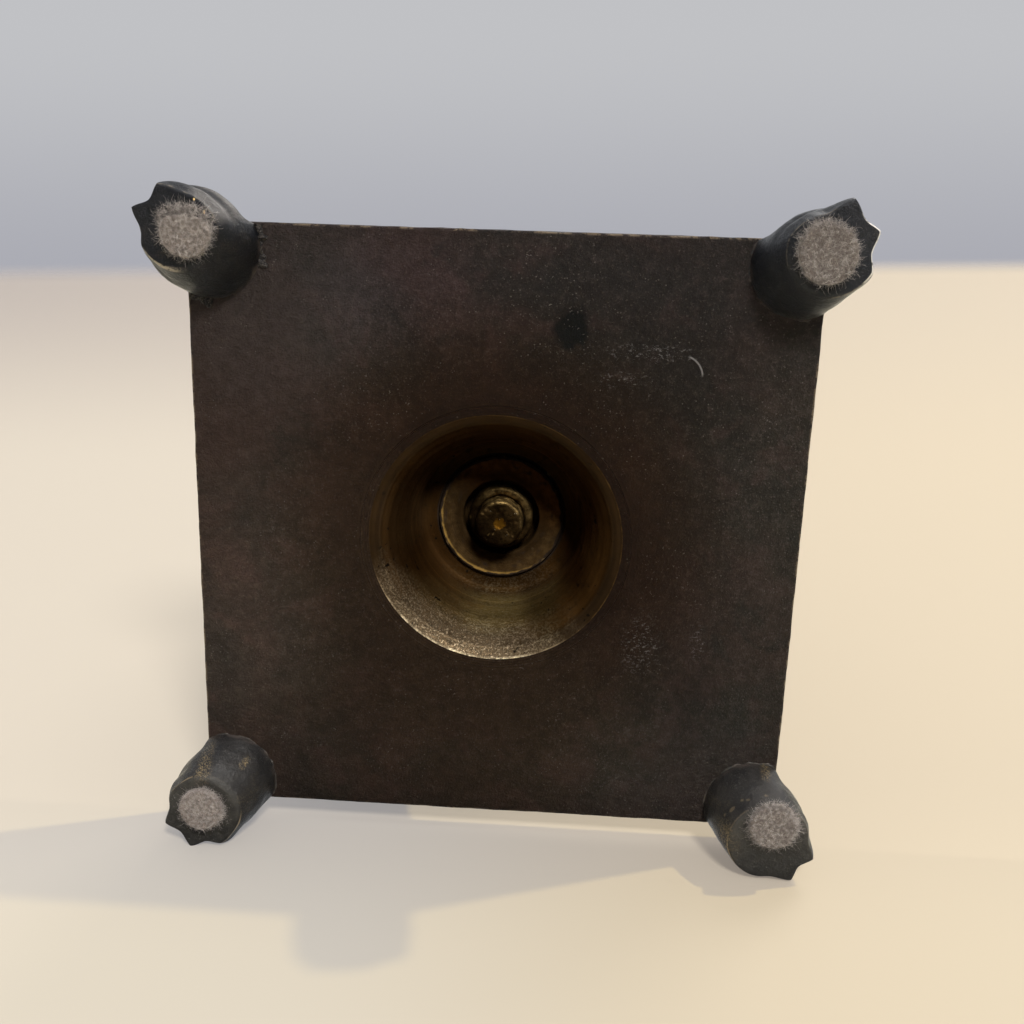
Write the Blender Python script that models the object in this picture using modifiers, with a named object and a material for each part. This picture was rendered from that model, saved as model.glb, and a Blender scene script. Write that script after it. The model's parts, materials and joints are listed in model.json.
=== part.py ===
"""A footed bronze flower frog: a square plate on four claw feet, a turned stem and bowl, and a pierced dome.

The plate carries a turned bell, and the bell, two rings, the stem and the bowl are clamped together by one
threaded rod, whose round nut sits in the hollow under the bell. The pierced dome that holds the flowers
lifts out of the bowl. Metres, +Z up, origin on the ground at the middle of the four feet.
"""

import math

import bmesh
import bpy
from mathutils import Matrix

# Driving dimensions
SIDE = 0.110  # edge of the square plate
PLATE_T = 0.0040
GAP = 0.0003  # air left between two pieces that touch or fit
FELT_T = 0.0018
FELT_R = 0.0049
FOOT_H = 0.0089  # from the sole to the plate

# Heights that follow from them
SOLE_Z = FELT_T
UNDER_Z = SOLE_Z + FOOT_H  # underside of the plate
PLATE_TOP = UNDER_Z + PLATE_T

# Claw feet. Their own frame has the tenon on the axis, +X out along the plate's diagonal.
FOOT_AT = 0.461 * SIDE  # x and y of each foot's axis
ROOT_R = 0.081 * SIDE
ROOT_INSET = 0.0003  # how far the root stays inside the plate's edges
FOOT_LEAN = 0.038 * SIDE  # how far the sole stands out beyond the root
KNUCKLE_R = 0.0745 * SIDE
HEEL_R = 0.0072
FRONT_CLAW = (math.radians(24), 0.0079)  # angle from the diagonal, and reach from the sole's centre
SIDE_CLAW = (math.radians(74), 0.0068)
FRONT_FLUTE = 0.0012  # depth of the hollow between two claws
SIDE_FLUTE = 0.0015
HEEL_SWELL = 0.0006
TENON_R = 0.0025

# The bell under the stem, as (radius, depth above the plate's underside)
BELL_MOUTH_R = 0.2115 * SIDE
BELL_LIP_R = 0.2245 * SIDE
MOUTH_BEVEL = (0.1955 * SIDE, 0.0125 * SIDE)
THROAT_R = 0.142 * SIDE
THROAT_DEPTH = 0.150 * SIDE
BOSS_R = 0.1115 * SIDE
BOSS_BEVEL = 0.004 * SIDE
GROOVE_DEPTH = 0.160 * SIDE
COUNTERBORE_R = 0.068 * SIDE
COUNTERBORE_DEPTH = 0.185 * SIDE
BELL_TOP_DEPTH = 0.207 * SIDE
FLANGE_R = 0.0291
BELL_NECK_R = 0.0170

# The rod and its nut
ROD_R = 0.0410 * SIDE
ROD_END_DEPTH = 0.103 * SIDE
NUT_R = 0.0565 * SIDE
NUT_FACE_DEPTH = 0.141 * SIDE
CENTRE_MARK_R = 0.0009

# Stem
RING_R = 0.0185
RING_H = 0.0042
KNOP_H = 0.0234
KNOP_R = 0.0146
KNOP_NECK_R = 0.0075
CALYX_H = 0.0040
CALYX_R = 0.0205

# Bowl and dome
BOWL_H = 0.0380
BOWL_R = 0.0465
LIP_R = 0.0495
WALL = 0.0022
BOWL_FOOT_R = 0.0200
BOWL_BOSS_R = 0.0085
SEAT_DEPTH = 0.0034  # from the rim down to the ledge that carries the dome
SEAT_R = 0.0464
DOME_RISE = 0.0142
DOME_T = 0.0018
DOME_SKIRT = 0.0033
CROWN_R = 0.0070  # flat crown under the knob
HOLE_R = 0.0043
HOLE_RINGS = ((6, 0.0160), (12, 0.0310))  # how many flower holes, and their circle's radius
KNOB_R = 0.0056
KNOB_H = 0.0125
SHANK_R = 0.0018
KNOB_NUT_R = 0.0042
KNOB_NUT_H = 0.0024

# Roundness
LARGE_STEPS = 48
SMALL_STEPS = 28

# Where each felt was stuck, off the middle of its sole
FELT_SHIFT = {
    "front_left": (0.0021, 0.0004),
    "front_right": (-0.0011, 0.0008),
    "back_left": (0.0002, -0.0011),
    "back_right": (-0.0005, -0.0043),
}
CORNERS = {"front_left": (-1, -1), "front_right": (1, -1), "back_left": (-1, 1), "back_right": (1, 1)}

BRONZE_DARK = ((0.060, 0.052, 0.046, 1.0), 0.42, 0.9)
BRONZE_BROWN = ((0.105, 0.078, 0.060, 1.0), 0.50, 0.9)
BRASS_AGED = ((0.230, 0.170, 0.085, 1.0), 0.38, 1.0)
FELT_GREY = ((0.420, 0.370, 0.340, 1.0), 0.95, 0.0)


def clear_scene():
    for old in list(bpy.data.objects):
        bpy.data.objects.remove(old)


def new_collection(name):
    collection = bpy.data.collections.new(name)
    bpy.context.scene.collection.children.link(collection)
    return collection


def material(name, colour, roughness, metallic):
    made = bpy.data.materials.new(name)
    made.use_nodes = True
    shader = made.node_tree.nodes["Principled BSDF"]
    shader.inputs["Base Color"].default_value = colour
    shader.inputs["Roughness"].default_value = roughness
    shader.inputs["Metallic"].default_value = metallic
    made.diffuse_color = colour
    return made


def add_object(name, mesh, finish, collection):
    made = bpy.data.objects.new(name, mesh)
    collection.objects.link(made)
    if finish and not mesh.materials:
        mesh.materials.append(finish)
    return made


def as_cutter(made):
    made.hide_render = True
    made.display_type = "WIRE"
    return made


def arc(centre_r, centre_z, radius_r, radius_z, start, end, count):
    """Points of an elliptical arc, angles in degrees from +r towards +z."""
    points = []
    for i in range(count + 1):
        angle = math.radians(start + (end - start) * i / count)
        points.append((centre_r + radius_r * math.cos(angle), centre_z + radius_z * math.sin(angle)))
    return points


def turned(name, profile, finish, collection, steps=LARGE_STEPS):
    """A solid turned about Z. The profile runs down its outer side, and closes unless it ends on the axis."""
    mesh = bpy.data.meshes.new(name)
    shape = bmesh.new()
    corners = [shape.verts.new((r, 0.0, z)) for r, z in profile]
    for first, second in zip(corners, corners[1:]):
        shape.edges.new((first, second))
    if profile[0][0] > 0.0:
        shape.edges.new((corners[-1], corners[0]))
    shape.to_mesh(mesh)
    shape.free()
    made = add_object(name, mesh, finish, collection)
    screw = made.modifiers.new("turn", "SCREW")
    screw.angle = math.tau
    screw.steps = steps
    screw.render_steps = steps
    screw.use_merge_vertices = True
    screw.merge_threshold = 0.00005
    screw.use_smooth_shade = True
    return made


def boolean(made, other, operation):
    cut = made.modifiers.new(operation.lower(), "BOOLEAN")
    cut.operation = operation
    cut.object = other
    cut.solver = "EXACT"


def cylinder_cutter(name, places, radius, low, high, collection, segments=16):
    """One cutter holding an upright cylinder at each (x, y) of places."""
    mesh = bpy.data.meshes.new(name)
    shape = bmesh.new()
    for x, y in places:
        at = Matrix.Translation((x, y, (low + high) / 2))
        bmesh.ops.create_cone(
            shape, cap_ends=True, segments=segments, radius1=radius, radius2=radius,
            depth=high - low, matrix=at,
        )
    shape.to_mesh(mesh)
    shape.free()
    return as_cutter(add_object(name, mesh, None, collection))


def base_plate(finish, parts, cutters):
    """The square plate, with a round hole for the bell and one for each foot's tenon."""
    mesh = bpy.data.meshes.new("base_plate")
    shape = bmesh.new()
    bmesh.ops.create_cube(shape, size=1.0)
    bmesh.ops.scale(shape, vec=(SIDE, SIDE, PLATE_T), verts=shape.verts)
    shape.to_mesh(mesh)
    shape.free()
    plate = add_object("base_plate", mesh, finish, parts)
    plate.location.z = UNDER_Z + PLATE_T / 2
    edge = plate.modifiers.new("edges", "BEVEL")
    edge.width = 0.0006
    edge.segments = 2
    past = 0.002
    low, high = UNDER_Z - past, PLATE_TOP + past
    bell_hole = cylinder_cutter(
        "bell_hole", [(0.0, 0.0)], BELL_LIP_R + GAP, low, high, cutters, LARGE_STEPS
    )
    corners = [(sx * FOOT_AT, sy * FOOT_AT) for sx, sy in CORNERS.values()]
    tenon_holes = cylinder_cutter("tenon_holes", corners, TENON_R + GAP, low, high, cutters)
    boolean(plate, bell_hole, "DIFFERENCE")
    boolean(plate, tenon_holes, "DIFFERENCE")


def eased(value):
    """0 to 1 with a level start and end, held outside that range."""
    value = min(1.0, max(0.0, value))
    return value * value * (3 - 2 * value)


def claw_reach(angle, flute):
    """From the sole's centre to its edge: four pointed claws in front with flutes between, and a round heel."""
    angle = abs(angle)
    (front_angle, front), (side_angle, side) = FRONT_CLAW, SIDE_CLAW
    heel_from = math.radians(125)
    if angle <= front_angle:
        share = (angle + front_angle) / (2 * front_angle)
        return front - flute * FRONT_FLUTE * 4 * share * (1 - share)
    if angle <= side_angle:
        share = (angle - front_angle) / (side_angle - front_angle)
        return front + (side - front) * share - flute * SIDE_FLUTE * 4 * share * (1 - share)
    share = min(1.0, (angle - side_angle) / (heel_from - side_angle))
    return side + (HEEL_R - side) * share * (2 - share)


def root_reach(angle):
    """From the foot's axis to the edge of its root: round, but kept inside the plate's corner."""
    corner = (SIDE / 2 - FOOT_AT - ROOT_INSET) * math.sqrt(2)
    across = abs(math.sin(angle)) + math.cos(angle)
    return min(ROOT_R, corner / across) if across > 0.0 else ROOT_R


def foot_angles():
    """Angles round the foot for half of it, with a point on every claw, then the mirrored half."""
    spans = ((0.0, FRONT_CLAW[0], 2), (FRONT_CLAW[0], SIDE_CLAW[0], 4), (SIDE_CLAW[0], math.pi, 6))
    half = [start + (end - start) * i / count for start, end, count in spans for i in range(count)]
    return half + [math.pi] + [-a for a in reversed(half[1:])]


def foot_section(share):
    """Outline of the foot from its root (share 0) over the knuckles to its clawed sole (share 1)."""
    centre = FOOT_LEAN * share
    toe = eased((share - 0.4) / 0.6)
    flute = eased((share - 0.55) / 0.45)
    flare = eased(share / 0.36)
    outline = []
    for angle in foot_angles():
        front = (1 - toe) * KNUCKLE_R + toe * claw_reach(angle, flute)
        front = (1 - flare) * root_reach(angle) + flare * front
        back = (1 - share) * ROOT_R + share * claw_reach(angle, flute)
        back += HEEL_SWELL * math.sin(math.pi * share)
        facing = eased((math.cos(angle) + 0.75) / 0.9)
        reach = facing * front + (1 - facing) * back
        outline.append((centre + reach * math.cos(angle), reach * math.sin(angle)))
    return outline


def foot_loft():
    """Foot body in its own frame, from the clawed sole up to the root, just below the plate's underside at z 0."""
    levels = [1.0, 0.9, 0.78, 0.64, 0.5, 0.36, 0.24, 0.12, 0.0]
    shape = bmesh.new()
    loops = []
    for share in levels:
        z = -GAP - (FOOT_H - GAP) * share
        loops.append([shape.verts.new((x, y, z)) for x, y in foot_section(share)])
    for lower, upper in zip(loops, loops[1:]):
        for i in range(len(lower)):
            j = (i + 1) % len(lower)
            shape.faces.new((lower[i], lower[j], upper[j], upper[i]))
    shape.faces.new(list(reversed(loops[0])))
    shape.faces.new(loops[-1])
    mesh = bpy.data.meshes.new("foot_loft")
    shape.to_mesh(mesh)
    shape.free()
    return mesh


def claw_foot_mesh(finish, cutters):
    """The foot's finished mesh, with a tenon that goes up through the plate."""
    body = add_object("foot_body", foot_loft(), finish, cutters)
    tenon = cylinder_cutter("foot_tenon", [(0.0, 0.0)], TENON_R, -0.002, PLATE_T, cutters)
    boolean(body, tenon, "UNION")
    bpy.context.view_layer.update()
    graph = bpy.context.evaluated_depsgraph_get()
    mesh = bpy.data.meshes.new_from_object(body.evaluated_get(graph))
    mesh.name = "claw_foot"
    bpy.data.objects.remove(body)
    return mesh


def feet(bronze, felt, parts, cutters):
    foot_mesh = claw_foot_mesh(bronze, cutters)
    sole_at = FOOT_AT + FOOT_LEAN / math.sqrt(2)
    for corner, (sx, sy) in CORNERS.items():
        foot = add_object("claw_foot_" + corner, foot_mesh, bronze, parts)
        foot.location = (sx * FOOT_AT, sy * FOOT_AT, UNDER_Z)
        foot.rotation_euler.z = math.atan2(sy, sx)
        mesh = bpy.data.meshes.new("felt_pad_" + corner)
        shape = bmesh.new()
        thickness = FELT_T - GAP
        bmesh.ops.create_cone(
            shape, cap_ends=True, segments=24, radius1=FELT_R, radius2=FELT_R, depth=thickness
        )
        shape.to_mesh(mesh)
        shape.free()
        pad = add_object("felt_pad_" + corner, mesh, felt, parts)
        dx, dy = FELT_SHIFT[corner]
        pad.location = (sx * sole_at + dx, sy * sole_at + dy, thickness / 2)


def pedestal_bell(finish, parts):
    """The turned bell: a flange on the plate, a flared hollow below, and a bored boss for the nut."""
    z = UNDER_Z
    top = z + BELL_TOP_DEPTH
    flange_z = PLATE_TOP + GAP
    bead = 0.0011
    flare_z = flange_z + 2 * bead + 0.0010
    flare_r = FLANGE_R - 0.0026
    soft = 0.0008
    profile = [(ROD_R + GAP, top), (BELL_NECK_R - soft, top), (BELL_NECK_R, top - soft)]
    profile += [
        (flare_r - (flare_r - BELL_NECK_R) * math.cos(t), top - 2 * soft - (top - 2 * soft - flare_z) * math.sin(t))
        for t in (math.radians(15 * i) for i in range(1, 7))
    ]
    profile += arc(FLANGE_R - bead, flange_z + bead, bead, bead, 90, -90, 4)
    profile += [(BELL_LIP_R, flange_z), (BELL_LIP_R, z), (BELL_MOUTH_R, z)]
    mouth_r, mouth_depth = MOUTH_BEVEL
    turn = math.radians(55)
    flare_a = (mouth_r - THROAT_R) / (1 - math.cos(turn))
    flare_b = (THROAT_DEPTH - mouth_depth) / math.sin(turn)
    for i in range(7):
        t = turn * (1 - i / 6)
        profile.append((THROAT_R + flare_a * (1 - math.cos(t)), z + THROAT_DEPTH - flare_b * math.sin(t)))
    profile += [
        (THROAT_R, z + GROOVE_DEPTH),
        (BOSS_R, z + GROOVE_DEPTH),
        (BOSS_R, z + THROAT_DEPTH + BOSS_BEVEL),
        (BOSS_R - BOSS_BEVEL, z + THROAT_DEPTH),
        (COUNTERBORE_R, z + THROAT_DEPTH),
        (COUNTERBORE_R, z + COUNTERBORE_DEPTH),
        (ROD_R + GAP, z + COUNTERBORE_DEPTH),
    ]
    turned("pedestal_bell", profile, finish, parts)


def rod_nut(finish, parts):
    """Round nut in the bell's counterbore."""
    low = UNDER_Z + NUT_FACE_DEPTH
    high = UNDER_Z + COUNTERBORE_DEPTH - GAP
    soft = 0.0005
    hole = ROD_R + GAP
    profile = [(hole, high), (NUT_R, high), (NUT_R, low + soft), (NUT_R - soft, low), (hole, low)]
    turned("rod_nut", profile, finish, parts, SMALL_STEPS)


def stack_heights():
    """Bottom heights of the ring, the knop, the calyx and the bowl, stacked on the bell with a gap each."""
    ring = UNDER_Z + BELL_TOP_DEPTH + GAP
    knop = ring + RING_H + GAP
    calyx = knop + KNOP_H + GAP
    bowl = calyx + CALYX_H + GAP
    return ring, knop, calyx, bowl


def tie_rod(finish, parts):
    """The rod, screwed up into the bowl's boss, with a lathe centre mark in its lower end."""
    low = UNDER_Z + ROD_END_DEPTH
    high = stack_heights()[3] + 0.0054
    soft = 0.0003
    profile = [(0.0, high), (ROD_R - soft, high), (ROD_R, high - soft), (ROD_R, low + soft)]
    profile += [(ROD_R - soft, low), (CENTRE_MARK_R, low), (0.0, low + CENTRE_MARK_R)]
    turned("tie_rod", profile, finish, parts, SMALL_STEPS)


def stem(finish, parts):
    """The bead ring, the baluster knop and the calyx under the bowl, all bored for the rod."""
    ring_z, knop_z, calyx_z, bowl_z = stack_heights()
    bore = ROD_R + GAP
    bead = RING_H / 2
    profile = [(bore, ring_z + RING_H)]
    profile += arc(RING_R - bead, ring_z + bead, bead, bead, 90, -90, 8)
    profile.append((bore, ring_z))
    turned("stem_ring", profile, finish, parts, 40)

    top = knop_z + KNOP_H
    foot_r, head_r, neck_r = 0.0135, 0.0115, KNOP_NECK_R
    band = 0.0013
    bulb_z = knop_z + 0.44 * KNOP_H
    bulb_h = 0.28 * KNOP_H
    profile = [(bore, top), (head_r, top), (head_r, top - band)]
    profile += arc(head_r, top - band - 0.0052, head_r - neck_r, 0.0052, 90, 180, 5)[1:]
    profile += arc(KNOP_R - 0.0085, bulb_z, 0.0085, bulb_h, 72, -60, 8)
    profile += arc(foot_r, knop_z + band + 0.0022, 0.0038, 0.0022, 180, 270, 4)
    profile += [(foot_r, knop_z), (bore, knop_z)]
    turned("stem_knop", profile, finish, parts, 40)

    top = calyx_z + CALYX_H
    profile = [(bore, top), (CALYX_R - 0.0006, top)]
    profile += arc(0.0118, top - 0.0006, CALYX_R - 0.0118, CALYX_H - 0.0006, 0, -90, 6)
    profile.append((bore, calyx_z))
    turned("bowl_calyx", profile, finish, parts, 40)


def bowl(finish, parts):
    """The turned bowl: a rolled lip, a ledge for the dome, and a blind boss that the rod screws into."""
    low = stack_heights()[3]
    rim = low + BOWL_H
    seat = rim - SEAT_DEPTH
    belly_z = rim - 0.0070
    floor_z = low + 0.0027
    boss_top = low + 0.0082
    inner_r = BOWL_R - WALL
    roll = (LIP_R - SEAT_R) / 2
    profile = [(0.0, boss_top), (BOWL_BOSS_R - 0.0012, boss_top), (BOWL_BOSS_R, boss_top - 0.0012)]
    profile += [(BOWL_BOSS_R + 0.0008, floor_z)]
    profile += arc(BOWL_FOOT_R, belly_z, inner_r - BOWL_FOOT_R, belly_z - floor_z, -90, 0, 7)
    profile += [(inner_r, seat), (SEAT_R, seat), (SEAT_R, rim - roll)]
    profile += arc(LIP_R - roll, rim - roll, roll, roll, 180, 0, 6)[1:]
    profile += arc(LIP_R, rim - roll - 0.0032, LIP_R - BOWL_R, 0.0032, 90, 180, 4)[1:]
    profile += arc(BOWL_FOOT_R, belly_z - 0.001, BOWL_R - BOWL_FOOT_R, belly_z - 0.001 - low, 0, -90, 9)
    bore = ROD_R + GAP
    profile += [(bore, low), (bore, low + 0.0057), (0.0, low + 0.0057)]
    turned("bowl", profile, finish, parts)


def dome_seat_z():
    return stack_heights()[3] + BOWL_H - SEAT_DEPTH + GAP


def frog_dome(finish, parts, cutters):
    """The pierced dome: a flange on the bowl's ledge, a skirt inside the wall, and rings of flower holes."""
    seat = dome_seat_z()
    flange_r = SEAT_R - GAP
    skirt_r = BOWL_R - WALL - GAP
    crown_z = seat + DOME_RISE
    spring_z = seat + DOME_T
    spring_r = skirt_r - 0.0006

    rise = crown_z - spring_z
    ball = (spring_r ** 2 + rise ** 2) / (2 * rise)
    crown_angle = math.asin(CROWN_R / ball)
    spring_angle = math.asin(spring_r / ball)
    centre_z = crown_z - ball
    flat_z = centre_z + ball * math.cos(crown_angle)
    count = 7
    angles = [crown_angle + (spring_angle - crown_angle) * i / count for i in range(count + 1)]
    inner = ball - DOME_T
    shank = SHANK_R + GAP
    profile = [(shank, flat_z)] + [(ball * math.sin(a), centre_z + ball * math.cos(a)) for a in angles]
    profile += [(flange_r, seat + DOME_T), (flange_r, seat), (skirt_r, seat), (skirt_r, seat - DOME_SKIRT)]
    profile += [(skirt_r - DOME_T, seat - DOME_SKIRT)]
    profile += [(inner * math.sin(a), centre_z + inner * math.cos(a)) for a in reversed(angles)]
    profile += [(shank, flat_z - DOME_T)]
    dome = turned("frog_dome", profile, finish, parts)
    places = []
    for count, circle in HOLE_RINGS:
        for i in range(count):
            angle = math.tau * (i + 0.5) / count
            places.append((circle * math.cos(angle), circle * math.sin(angle)))
    holes = cylinder_cutter("flower_holes", places, HOLE_R, seat - 0.010, crown_z + 0.010, cutters, 14)
    boolean(dome, holes, "DIFFERENCE")
    return flat_z


def frog_knob(crown_z, finish, parts):
    """Turned ball knob with a shank through the crown, and the small nut that holds it underneath."""
    low = crown_z + GAP
    ball_z = low + KNOB_H - KNOB_R
    nut_high = crown_z - DOME_T - GAP
    nut_low = nut_high - KNOB_NUT_H
    shank_low = nut_low - 0.0008
    profile = [(0.0, low + KNOB_H)]
    profile += arc(0.0, ball_z, KNOB_R, KNOB_R, 75, -50, 7)
    profile += [(0.0026, low + 0.0020), (0.0050, low + 0.0010), (0.0050, low)]
    profile += [(SHANK_R, low), (SHANK_R, shank_low), (0.0, shank_low)]
    turned("frog_knob", profile, finish, parts, SMALL_STEPS)

    bore = SHANK_R + GAP
    profile = [(bore, nut_high), (KNOB_NUT_R, nut_high), (KNOB_NUT_R, nut_low), (bore, nut_low)]
    turned("knob_nut", profile, finish, parts, 6)


def build():
    clear_scene()
    parts = new_collection("flower_frog")
    cutters = new_collection("cutters")
    dark = material("bronze_dark", *BRONZE_DARK)
    brown = material("bronze_brown", *BRONZE_BROWN)
    brass = material("brass_aged", *BRASS_AGED)
    felt = material("felt_grey", *FELT_GREY)
    base_plate(brown, parts, cutters)
    feet(dark, felt, parts, cutters)
    pedestal_bell(brass, parts)
    rod_nut(brass, parts)
    tie_rod(brass, parts)
    stem(dark, parts)
    bowl(brown, parts)
    crown_z = frog_dome(dark, parts, cutters)
    frog_knob(crown_z, brass, parts)


build()
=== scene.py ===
"""Looks for a footed bronze flower frog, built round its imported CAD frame.

Everything is in metres in the frame's own space: +Z runs up the stem, and the felt pads stand on z 0.
Each CAD node is replaced by a finer piece of the same size, with cast, turned or worn detail in its shape
and a procedural finish. The camera looks at the underside, as if the frog lay on its side on a table.
"""
import json
import math
import random

import bmesh
import bpy
from mathutils import Matrix, Vector, noise

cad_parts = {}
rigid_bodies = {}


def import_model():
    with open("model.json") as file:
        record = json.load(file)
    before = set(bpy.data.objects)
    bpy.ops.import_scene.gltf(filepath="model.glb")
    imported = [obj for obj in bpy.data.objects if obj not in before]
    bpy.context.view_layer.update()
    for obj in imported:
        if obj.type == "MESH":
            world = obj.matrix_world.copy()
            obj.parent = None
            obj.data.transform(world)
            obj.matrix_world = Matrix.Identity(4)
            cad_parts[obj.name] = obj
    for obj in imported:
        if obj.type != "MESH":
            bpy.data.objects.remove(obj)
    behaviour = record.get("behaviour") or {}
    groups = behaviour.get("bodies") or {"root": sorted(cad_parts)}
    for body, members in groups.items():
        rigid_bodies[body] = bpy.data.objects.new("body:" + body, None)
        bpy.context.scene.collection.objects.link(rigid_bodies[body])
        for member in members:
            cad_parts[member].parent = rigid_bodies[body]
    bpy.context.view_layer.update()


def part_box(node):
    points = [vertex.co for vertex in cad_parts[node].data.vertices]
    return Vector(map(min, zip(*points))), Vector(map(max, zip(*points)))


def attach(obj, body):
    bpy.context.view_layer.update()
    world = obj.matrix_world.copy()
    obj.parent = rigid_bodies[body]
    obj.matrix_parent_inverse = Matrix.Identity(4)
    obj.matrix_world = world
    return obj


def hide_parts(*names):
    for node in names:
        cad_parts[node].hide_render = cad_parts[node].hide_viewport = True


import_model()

# Sizes that the CAD frame gives
PLATE_LOW, PLATE_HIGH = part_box("base_plate")
BELL_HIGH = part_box("pedestal_bell")[1]
BOWL_LOW, BOWL_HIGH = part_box("bowl")
SIDE = PLATE_HIGH.x - PLATE_LOW.x
UNDER = PLATE_LOW.z
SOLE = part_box("claw_foot_back_left")[0].z
FOOT_H = UNDER - SOLE
CORNERS = {"front_left": (-1, -1), "front_right": (1, -1), "back_left": (-1, 1), "back_right": (1, 1)}

# Shape constants shared with the CAD, as shares of the plate's edge where they scale with it
FOOT_AT = 0.461 * SIDE
FOOT_LEAN = 0.038 * SIDE
ROOT_R = 0.081 * SIDE
KNUCKLE_R = 0.0745 * SIDE
FELT_R = 0.0049
MOUTH_R = 0.2115 * SIDE
LIP_R = 0.2245 * SIDE
ROD_R = 0.041 * SIDE
NUT_R = 0.0565 * SIDE
BOSS_R = 0.1115 * SIDE
COUNTERBORE_R = 0.068 * SIDE
THROAT_R = 0.142 * SIDE
THROAT_DEPTH = 0.15 * SIDE
BOWL_R = 0.0465
BOWL_WALL = 0.0022
LIP_WIDEST = 0.0022  # how far under its rim the bowl is widest
GAP = 0.0003  # air round the rod, the dome's skirt and the knob's shank
HAIRLINE = 0.00006  # seam between two pieces that touch
HOLE_ROWS = ((6, 0.016), (12, 0.031))  # how many stem holes the dome has in a row, and how far out
HOLE_R = 0.0043


# Small helpers ---------------------------------

def eased(value):
    value = min(1.0, max(0.0, value))
    return value * value * (3 - 2 * value)


def mixed(a, b, share):
    return a + (b - a) * share


def wave(x, y, z, scale, seed=0.0):
    """Smooth noise about 0, between -1 and 1. scale is in features per metre."""
    return noise.noise(Vector((x * scale + seed, y * scale - seed, z * scale + 2 * seed)))


def span(node):
    """A CAD node's lowest and highest z, and how far it reaches from the stem's axis along X."""
    low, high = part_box(node)
    return low.z, high.z, high.x


def lumps(x, y, z, *layers):
    """Waves of (height, scale, seed) added up."""
    return sum(height * wave(x, y, z, scale, seed) for height, scale, seed in layers)


def make_object(name, verts, faces, finish, sharp=None):
    mesh = bpy.data.meshes.new(name)
    mesh.from_pydata(verts, [], faces)
    mesh.update()
    mesh.materials.append(finish)
    mesh.polygons.foreach_set("use_smooth", [True] * len(mesh.polygons))
    if sharp:
        mesh.set_sharp_from_angle(angle=math.radians(sharp))
    made = bpy.data.objects.new(name, mesh)
    bpy.context.scene.collection.objects.link(made)
    return made


def finished(made, body, node=None):
    """Rides the piece on its body, and has it stand for a CAD node."""
    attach(made, body)
    if node:
        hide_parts(node)


def rounded(points, radius, steps=3):
    """The polyline with each corner softened over the given length."""
    out = [points[0]]
    for before, corner, after in zip(points, points[1:], points[2:]):
        a, b, c = Vector(before), Vector(corner), Vector(after)
        first, second = (a - b), (c - b)
        bend = math.pi - first.angle(second, math.pi) if first.length and second.length else 0.0
        if bend < math.radians(14):
            out.append(corner)
            continue
        reach = min(radius, first.length * 0.45, second.length * 0.45)
        p, q = b + first.normalized() * reach, b + second.normalized() * reach
        for i in range(steps + 1):
            t = i / steps
            at = p * (1 - t) ** 2 + b * (2 * t * (1 - t)) + q * t ** 2
            out.append((at.x, at.y))
    out.append(points[-1])
    return out


def dense(points, most):
    """The polyline with no step longer than most."""
    out = [points[0]]
    for a, b in zip(points, points[1:]):
        count = max(1, math.ceil(math.dist(a, b) / most))
        out += [(mixed(a[0], b[0], i / count), mixed(a[1], b[1], i / count)) for i in range(1, count + 1)]
    return out


def arc(centre_r, centre_z, radius_r, radius_z, start, end, count):
    points = []
    for i in range(count + 1):
        angle = math.radians(mixed(start, end, i / count))
        points.append((centre_r + radius_r * math.cos(angle), centre_z + radius_z * math.sin(angle)))
    return points


def polar(r, angle):
    return r * math.cos(angle), r * math.sin(angle)


class Shape:
    """A mesh that grows ring by ring."""

    def __init__(self):
        self.verts, self.faces = [], []

    def ring(self, points):
        start = len(self.verts)
        self.verts += points
        return range(start, len(self.verts))

    def join(self, upper, lower, flip=False):
        """Faces between two rings of the same count, or between a ring and a point."""
        count = max(len(upper), len(lower))
        for i in range(count):
            j = (i + 1) % count
            if len(upper) == 1:
                face = (upper[0], lower[i], lower[j])
            elif len(lower) == 1:
                face = (upper[i], lower[0], upper[j])
            else:
                face = (upper[i], lower[i], lower[j], upper[j])
            self.faces.append(face[::-1] if flip else face)

    def join_all(self, rings, flip=False):
        for upper, lower in zip(rings, rings[1:]):
            self.join(upper, lower, flip)

    def made(self, name, finish, sharp=None):
        return make_object(name, self.verts, self.faces, finish, sharp)


def turned(name, profile, finish, steps=144, shift=None, sharp=32):
    """Solid turned about Z from a profile of (r, z) that runs down its outer side. shift moves (r, angle, z)."""
    shape = Shape()
    rings = []
    for r, z in profile:
        points = [(0.0, 0.0, z)]
        if r >= 1e-6:
            turns = [math.tau * i / steps for i in range(steps)]
            moved = [shift(r, angle, z) if shift else (r, z) for angle in turns]
            points = [(*polar(rr, angle), zz) for angle, (rr, zz) in zip(turns, moved)]
        rings.append(shape.ring(points))
    shape.join_all(rings + rings[:1] if profile[0][0] > 1e-6 else rings)
    return shape.made(name, finish, sharp)


# Node trees ------------------------------------

def operation(kind, swapped=False):
    def step(self, other=0.0):
        return self.nodes.math(kind, *((other, self) if swapped else (self, other)))
    return step


class Value:
    """A number in a node tree, whose arithmetic adds Math nodes."""

    def __init__(self, nodes, socket):
        self.nodes, self.socket = nodes, socket

    __add__, __radd__ = operation("ADD"), operation("ADD", True)
    __sub__, __rsub__ = operation("SUBTRACT"), operation("SUBTRACT", True)
    __mul__, __rmul__ = operation("MULTIPLY"), operation("MULTIPLY", True)
    __truediv__, __abs__ = operation("DIVIDE"), operation("ABSOLUTE")


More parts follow.
